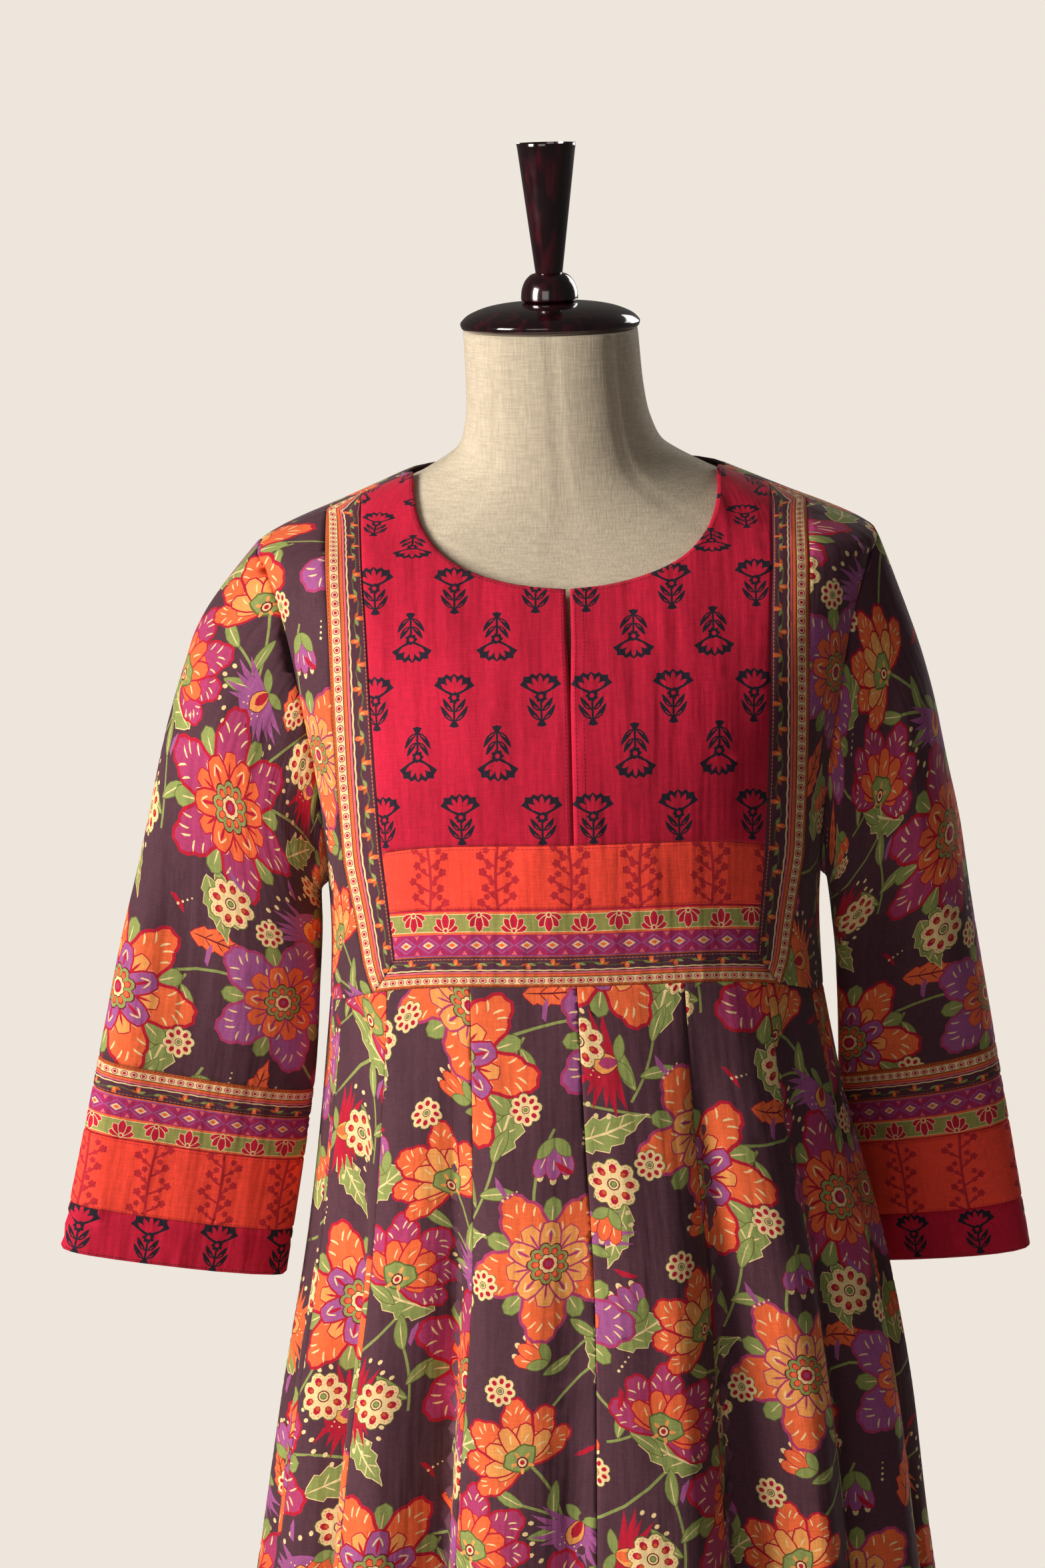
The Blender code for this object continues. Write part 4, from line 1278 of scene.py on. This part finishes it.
def between_lines(marks, low, high, width):
    """Marks drawn along a straight band, laid between two lines on the flat cloth."""
    laid = []
    for ink, points in marks:
        x, share = points[:, 0] * MM, points[:, 1] / width
        y_low, y_high = np.interp(x, low[:, 0], low[:, 1]), np.interp(x, high[:, 0], high[:, 1])
        laid.append((ink, np.stack((x, y_low + (y_high - y_low) * share), axis=1)))
    return laid


def band_marks(cloth, rim, low_level, high_level, print_of, flipped=False):
    """A border print laid level along a band of cloth."""
    low, high = extent(cloth, rim)
    lines = [cloth.flat(cloth.angles, np.full(len(cloth.angles), level)) for level in (low_level, high_level)]
    width = float(np.mean(lines[1][:, 1] - lines[0][:, 1])) / MM
    marks = print_of(low[0] / MM - 3, high[0] / MM + 3, width)
    if flipped:
        marks = [(ink, (points * (1, -1) + (0, width))[::-1]) for ink, points in marks]
    return between_lines(marks, *lines, width)


def berry_print(pitch, first):
    def marks(start, end, width):
        made = []
        for x in np.arange(math.floor((start - first) / pitch) * pitch + first, end + pitch, pitch):
            made += moved(berry_vine(width + 2), x, -1, flip=bool(round((x - first) / pitch) % 2))
        made += stitches("berry", start, end, 1.6) + stitches("berry", start, end, width - 1.6)
        return made

    return marks


def carnation_print(start, end, width):
    made = []
    pitch = 46.0
    for x in np.arange(math.floor(start / pitch) * pitch + 12, end, pitch):
        made += moved(carnation(), x, width / 2 + 1)
    return made + stitches("navy", start, end, 2.0)


def stitched_line(cloth, edge, levels, aside, ink):
    """Machine stitches beside an edge that is given as an angle by level."""
    line = cloth.flat([edge(level) for level in levels], levels) / MM
    steps = np.linalg.norm(np.diff(line, axis=0), axis=1)
    run = np.concatenate(([0], np.cumsum(steps)))
    marks = []
    for start in np.arange(1.0, run[-1] - STITCH_PITCH, STITCH_PITCH):
        ends = (start, start + STITCH_LENGTH)
        a, b = (np.array([np.interp(at, run, line[:, k]) for k in (0, 1)]) for at in ends)
        along = (b - a) / np.linalg.norm(b - a)
        side = np.array((-along[1], along[0]))
        a, b = a + side * aside, b + side * aside
        half = side * STITCH_WIDTH / 2
        marks.append((ink, np.array((a - half, b - half, b + half, a + half)) * MM))
    return marks


def make_yoke():
    reach = math.radians(93)
    front = flat_cloth(bodice_points, -reach, reach, 0.0, 12, columns=361)
    levels = seam_levels(CORAL_TOP_LEVEL + LEVEL_GAP, SHOULDER_NECK_LEVEL - LEVEL_GAP)
    base = front.flat([0.0], [CORAL_TOP_LEVEL])[0, 1] / MM
    for name, side in (("yoke_left", -1), ("yoke_right", 1)):
        edges = on_side(side, centre_edge, panel_edge)
        rim = outline_between(*edges, levels)
        marks = []
        first = 12.6 if side > 0 else -19.0
        for row in range(7):
            for column in range(4):
                x = first + side * 52.4 * column
                y = base + 18.5 + 76.0 * row
                sway = 1.2 * math.sin(row * 2.3 + column * 1.7)
                marks += moved(carnation(), x + sway, y, sway)
                marks += moved(carnation(), x + side * 26.8 + sway, y + 42.0, 180 - sway)
        marks = [(ink, points * MM) for ink, points in marks]
        edge = edges[0] if side > 0 else edges[1]
        marks += stitched_line(front, edge, levels, -3.0 * side, "stitch")
        if side > 0:
            marks += stitched_line(front, edge, levels[levels < FRONT_NECK_LEVEL], -8.0, "stitch")
        printed_cloth(name, front, rim, marks, "crimson")
    bands = (
        ("yoke_coral_band", BORDER_TOP_LEVEL, CORAL_TOP_LEVEL, "coral", berry_print(45.0, -3.0)),
        ("yoke_border_band", FRAME_TOP_LEVEL, BORDER_TOP_LEVEL, "lattice_magenta", lotus_print),
    )
    for name, low, high, ground, print_of in bands:
        levels = level_steps(low + LEVEL_GAP, high - LEVEL_GAP, 0.1)
        rim = outline_between(mirrored(panel_edge), panel_edge, levels)
        printed_cloth(name, front, rim, band_marks(front, rim, low, high, print_of), ground)
    levels = level_steps(LEVEL_GAP, FRAME_TOP_LEVEL - LEVEL_GAP, 0.1)
    rim = outline_between(mirrored(mitre_edge), mitre_edge, levels)
    marks = band_marks(front, rim, 0, FRAME_TOP_LEVEL, frame_print)
    printed_cloth("yoke_frame_bottom", front, rim, marks, "vine_purple")
    levels = seam_levels(LEVEL_GAP, FRAME_SIDE_TOP_LEVEL - LEVEL_GAP)
    for name, side in (("yoke_frame_left", -1), ("yoke_frame_right", 1)):
        edges = on_side(side, frame_inner, frame_outer)
        rim = outline_between(*edges, levels)
        inner = front.flat([side * panel_edge(level) for level in levels], levels)
        outer = front.flat([side * frame_outer(level) for level in levels], levels)
        marks = []
        for ink, points in frame_print(-5, inner[-1, 1] / MM + 5, FRAME_PRINT_WIDTH):
            share, y = points[:, 1] / FRAME_PRINT_WIDTH, points[:, 0] * MM
            x_out, x_in = (np.interp(y, line[:, 1], line[:, 0]) for line in (outer, inner))
            marks.append((ink, np.stack((x_out + (x_in - x_out) * share, y), axis=1)))
        printed_cloth(name, front, rim, marks, "vine_purple")


def make_side_fronts_and_back():
    levels = seam_levels(LEVEL_GAP, SIDE_FRONT_TOP_LEVEL - LEVEL_GAP)
    for name, side in (("front_side_left", -1), ("front_side_right", 1)):
        low, high = sorted((side * math.radians(30), side * math.radians(93)))
        edges = on_side(side, side_front_inner, side_front_outer)
        cloth = flat_cloth(bodice_points, low, high, side * math.radians(75), 12)
        rim = outline_between(*edges, levels)
        marks = floral(*extent(cloth, rim), shift=(40 if side > 0 else 150, 30 if side > 0 else 120))
        printed_cloth(name, cloth, rim, marks, "aubergine")

    def back_low(level):
        return SIDE_SEAM + armhole_angle(level) + seam_angle(level)

    def back_top(angle):
        dip = (SHOULDER_NECK_LEVEL - BACK_NECK_LEVEL) * abs(math.cos(angle)) ** 0.7
        return SHOULDER_NECK_LEVEL - LEVEL_GAP - dip

    levels = level_steps(LEVEL_GAP, SHOULDER_NECK_LEVEL - LEVEL_GAP, 0.1)
    cloth = flat_cloth(bodice_points, math.radians(87), math.radians(273), math.pi, 12, 361)
    rim = outline_between(back_low, lambda level: math.tau - back_low(level), levels, back_top)
    marks = floral(*extent(cloth, rim), shift=(90, 60))
    printed_cloth("back", cloth, rim, marks, "aubergine")


def make_skirt():
    width = math.tau / KALI_COUNT
    last = len(SKIRT) - 1
    levels = level_steps(0.0, last - 0.0035, 0.055)
    for number in range(KALI_COUNT):
        start = number * width

        def margin(height):
            return SEAM / 2 / rows_at(SKIRT, np.array([last - height]))[0][3]

        low, high, middle = start - 0.01, start + width + 0.01, start + width / 2
        cloth = flat_cloth(skirt_points, low, high, middle, last, columns=61, rows=181)
        rim = outline_between(
            lambda height: start + margin(height), lambda height: start + width - margin(height), levels
        )
        shift = ((number * 137) % 320, (number * 89 + 25) % 232)
        marks = floral(*extent(cloth, rim), shift=shift)
        marks += [(ink, points * MM) for ink, points in stitches("maroon", -90, 90, 14.0)]
        name = f"kali_{number + 1:02d}"
        printed_cloth(name, cloth, rim, marks, "aubergine")


SLEEVE_BANDS = (
    ("hem_band", 0.0, 0.306, "crimson", carnation_print, False),
    ("coral_band", 0.306, 0.636, "coral", berry_print(45.0, 8.0), False),
    ("border_band", 0.636, 0.835, "lattice_magenta", lotus_print, True),
    ("frame_band", 0.835, 1.0, "vine_purple", frame_print, True),
)


def make_sleeves():
    for side_name, side in SIDES.items():
        surface = sleeve_surface(side_name)
        middle = side * math.radians(90)
        top = len(SLEEVE_RINGS[side_name]) - 1
        cloth = flat_cloth(surface, middle - math.pi, middle + math.pi, middle, top, 241, 211, evened=0.35)
        margin = SEAM / 2 / SLEEVE_RADIUS
        edges = (lambda level: middle - math.pi + margin, lambda level: middle + math.pi - margin)
        for band, low, high, ground, print_of, flipped in SLEEVE_BANDS:
            name = f"sleeve_{side_name}_{band}"
            rim = outline_between(*edges, level_steps(low + SLEEVE_LEVEL_GAP, high - SLEEVE_LEVEL_GAP, 0.05))
            marks = band_marks(cloth, rim, low, high, print_of, flipped)
            printed_cloth(name, cloth, rim, marks, ground)
        name = f"sleeve_{side_name}"
        rim = outline_between(*edges, level_steps(1 + SLEEVE_LEVEL_GAP, top, 0.09))
        marks = floral(*extent(cloth, rim), shift=(70 if side > 0 else 190, 10))
        printed_cloth(name, cloth, rim, marks, "aubergine")


# ---------------------------------------------------------------- the dress form and its stand
def finished(name, shape, material, node):
    """Turns a shape into the object that stands for a node."""
    mesh = bpy.data.meshes.new(name)
    bmesh.ops.recalc_face_normals(shape, faces=shape.faces)
    shape.to_mesh(mesh)
    shape.free()
    mesh.shade_smooth()
    mesh.materials.append(MATERIALS[material])
    made = bpy.data.objects.new(name, mesh)
    bpy.context.scene.collection.objects.link(made)
    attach(made, "root")
    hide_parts(node)
    return made


def make_form():
    columns, rows = 96, 114
    shape = bmesh.new()
    grid = bmesh.ops.create_grid(shape, x_segments=columns, y_segments=rows, size=0.5)["verts"]
    flat = np.array([vert.co[:] for vert in grid])
    angles = (flat[:, 0] + 0.5) * math.tau
    levels = (flat[:, 1] + 0.5) * (len(FORM) - 1)
    places = section_points(rows_at(FORM, levels), angles)
    neck = np.clip((levels - NECK_ROW) / (len(FORM) - 1 - NECK_ROW), 0, 1)
    places[:, 0] += NECK_LEAN * neck
    for seam_deg in (0, 38, 90, 142, 180, 218, 270, 322):
        away = (np.degrees(angles) - seam_deg + 180) % 360 - 180
        pinch = np.exp(-((away / 1.6) ** 2)) * 0.0010
        places[:, :2] *= (1 - pinch / np.maximum(np.linalg.norm(places[:, :2], axis=1), 0.03))[:, None]
    for vert, place in zip(grid, places.tolist()):
        vert.co = place
    bmesh.ops.remove_doubles(shape, verts=shape.verts, dist=1e-5)
    rims = [edge for edge in shape.edges if edge.is_boundary]
    bmesh.ops.holes_fill(shape, edges=rims, sides=0)
    finished("form_cover", shape, "form_linen", "form_torso")


def turned_piece(name, profile, base, node, steps=64):
    """A piece turned on a lathe, from radii and heights above its base."""
    table = np.array(profile)
    run = np.linspace(0, len(profile) - 1, (len(profile) - 1) * 4 + 1)
    smooth = rows_at(table, run)
    smooth[:, 0] = np.maximum(smooth[:, 0], 0.0005)
    shape = bmesh.new()
    outline = [(0.0, smooth[0][1]), *smooth.tolist(), (0.0, smooth[-1][1])]
    corners = [shape.verts.new(Vector(base) + Vector((radius, 0, height))) for radius, height in outline]
    edges = [shape.edges.new(pair) for pair in zip(corners, corners[1:])]
    bmesh.ops.spin(
        shape, geom=corners + edges, cent=base, axis=(0, 0, 1), angle=math.tau, steps=steps, use_merge=True
    )
    bmesh.ops.remove_doubles(shape, verts=shape.verts, dist=1e-6)
    made = finished(name, shape, "lacquered_wood", node)
    made.data.set_sharp_from_angle(angle=math.radians(50))


def make_stand():
    cap_top_z = NECK_TOP_Z + CAP_PROFILE[-1][1]
    turned_piece("neck_cap", CAP_PROFILE, (NECK_LEAN, 0, NECK_TOP_Z), "form_neck_cap")
    turned_piece("finial", FINIAL_PROFILE, (NECK_LEAN, 0, cap_top_z), "form_finial")
    turned_piece("turned_foot", FOOT_PROFILE, (0, 0, 0), "stand_foot")
    low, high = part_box("stand_pole")
    height = high[2] - low[2]
    profile = [(POLE_RADIUS, 0.0), (POLE_RADIUS, height / 2), (POLE_RADIUS, height)]
    turned_piece("pole", profile, (0, 0, low[2]), "stand_pole", 32)


# ---------------------------------------------------------------- floor, light and camera
def aimed(made, place, target):
    made.location = place
    made.rotation_euler = (Vector(target) - Vector(place)).to_track_quat("-Z", "Y").to_euler()


def area_light(name, place, target, width, height, watts, colour):
    lamp = bpy.data.lights.new(name, "AREA")
    lamp.shape = "RECTANGLE"
    lamp.size, lamp.size_y = width, height
    lamp.energy = watts
    lamp.color = colour
    made = bpy.data.objects.new(name, lamp)
    bpy.context.scene.collection.objects.link(made)
    aimed(made, place, target)


def make_room():
    shape = bmesh.new()
    bmesh.ops.create_circle(shape, cap_ends=True, segments=96, radius=1.42)
    mesh = bpy.data.meshes.new("floor")
    shape.to_mesh(mesh)
    shape.free()
    mesh.materials.append(MATERIALS["pale_floor"])
    floor = bpy.data.objects.new("floor", mesh)
    bpy.context.scene.collection.objects.link(floor)
    world = bpy.data.worlds.new("room")
    world.use_nodes = True
    bpy.context.scene.world = world
    nodes, links = world.node_tree.nodes, world.node_tree.links
    wall = nodes["Background"]
    wall.inputs["Color"].default_value = (0.855, 0.791, 0.716, 1)
    wall.inputs["Strength"].default_value = 1.0
    glow = nodes.new("ShaderNodeBackground")
    glow.inputs["Color"].default_value = (0.855, 0.80, 0.74, 1)
    glow.inputs["Strength"].default_value = 0.09
    seen, either = nodes.new("ShaderNodeLightPath"), nodes.new("ShaderNodeMixShader")
    links.new(seen.outputs["Is Camera Ray"], either.inputs["Fac"])
    links.new(glow.outputs["Background"], either.inputs[1])
    links.new(wall.outputs["Background"], either.inputs[2])
    links.new(either.outputs["Shader"], nodes["World Output"].inputs["Surface"])
    area_light("key", (-2.7, -1.5, 2.1), (0, 0, 1.05), 1.1, 1.9, 150, (1.0, 0.95, 0.88))
    area_light("back", (1.9, 2.5, 2.2), (0, 0, 0.9), 1.8, 1.8, 42, (1.0, 0.96, 0.93))
    area_light("fill", (-1.0, -3.3, 2.0), (0, 0, 1.0), 1.6, 1.6, 15, (1.0, 0.95, 0.92))
    bpy.context.scene.view_settings.view_transform = "Standard"


def make_camera():
    yaw, down, roll = (math.radians(angle) for angle in (0.711, 11.02, 1.42))
    ahead = Vector((-math.sin(yaw) * math.cos(down), math.cos(yaw) * math.cos(down), -math.sin(down)))
    right = Vector((math.cos(yaw), math.sin(yaw), 0))
    up = right.cross(ahead)
    tilted_right = right * math.cos(roll) - up * math.sin(roll)
    tilted_up = right * math.sin(roll) + up * math.cos(roll)
    view = bpy.data.cameras.new("camera")
    view.lens = 93.6
    view.sensor_width = 36
    made = bpy.data.objects.new("camera", view)
    bpy.context.scene.collection.objects.link(made)
    turned = Matrix((tilted_right, tilted_up, -ahead)).transposed()
    made.matrix_world = Matrix.Translation((0, -2.62, 1.71)) @ turned.to_4x4()
    bpy.context.scene.camera = made


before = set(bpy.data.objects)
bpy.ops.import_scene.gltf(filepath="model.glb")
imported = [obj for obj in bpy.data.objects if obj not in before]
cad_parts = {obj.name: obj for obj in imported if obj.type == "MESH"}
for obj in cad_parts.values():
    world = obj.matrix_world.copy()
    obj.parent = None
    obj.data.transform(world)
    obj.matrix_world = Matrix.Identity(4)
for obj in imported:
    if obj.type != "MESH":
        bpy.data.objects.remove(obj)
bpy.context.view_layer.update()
make_cotton()
make_linen()
make_dark_wood()
make_floor_finish()
make_yoke()
make_side_fronts_and_back()
make_skirt()
make_sleeves()
make_form()
make_stand()
make_room()
make_camera()
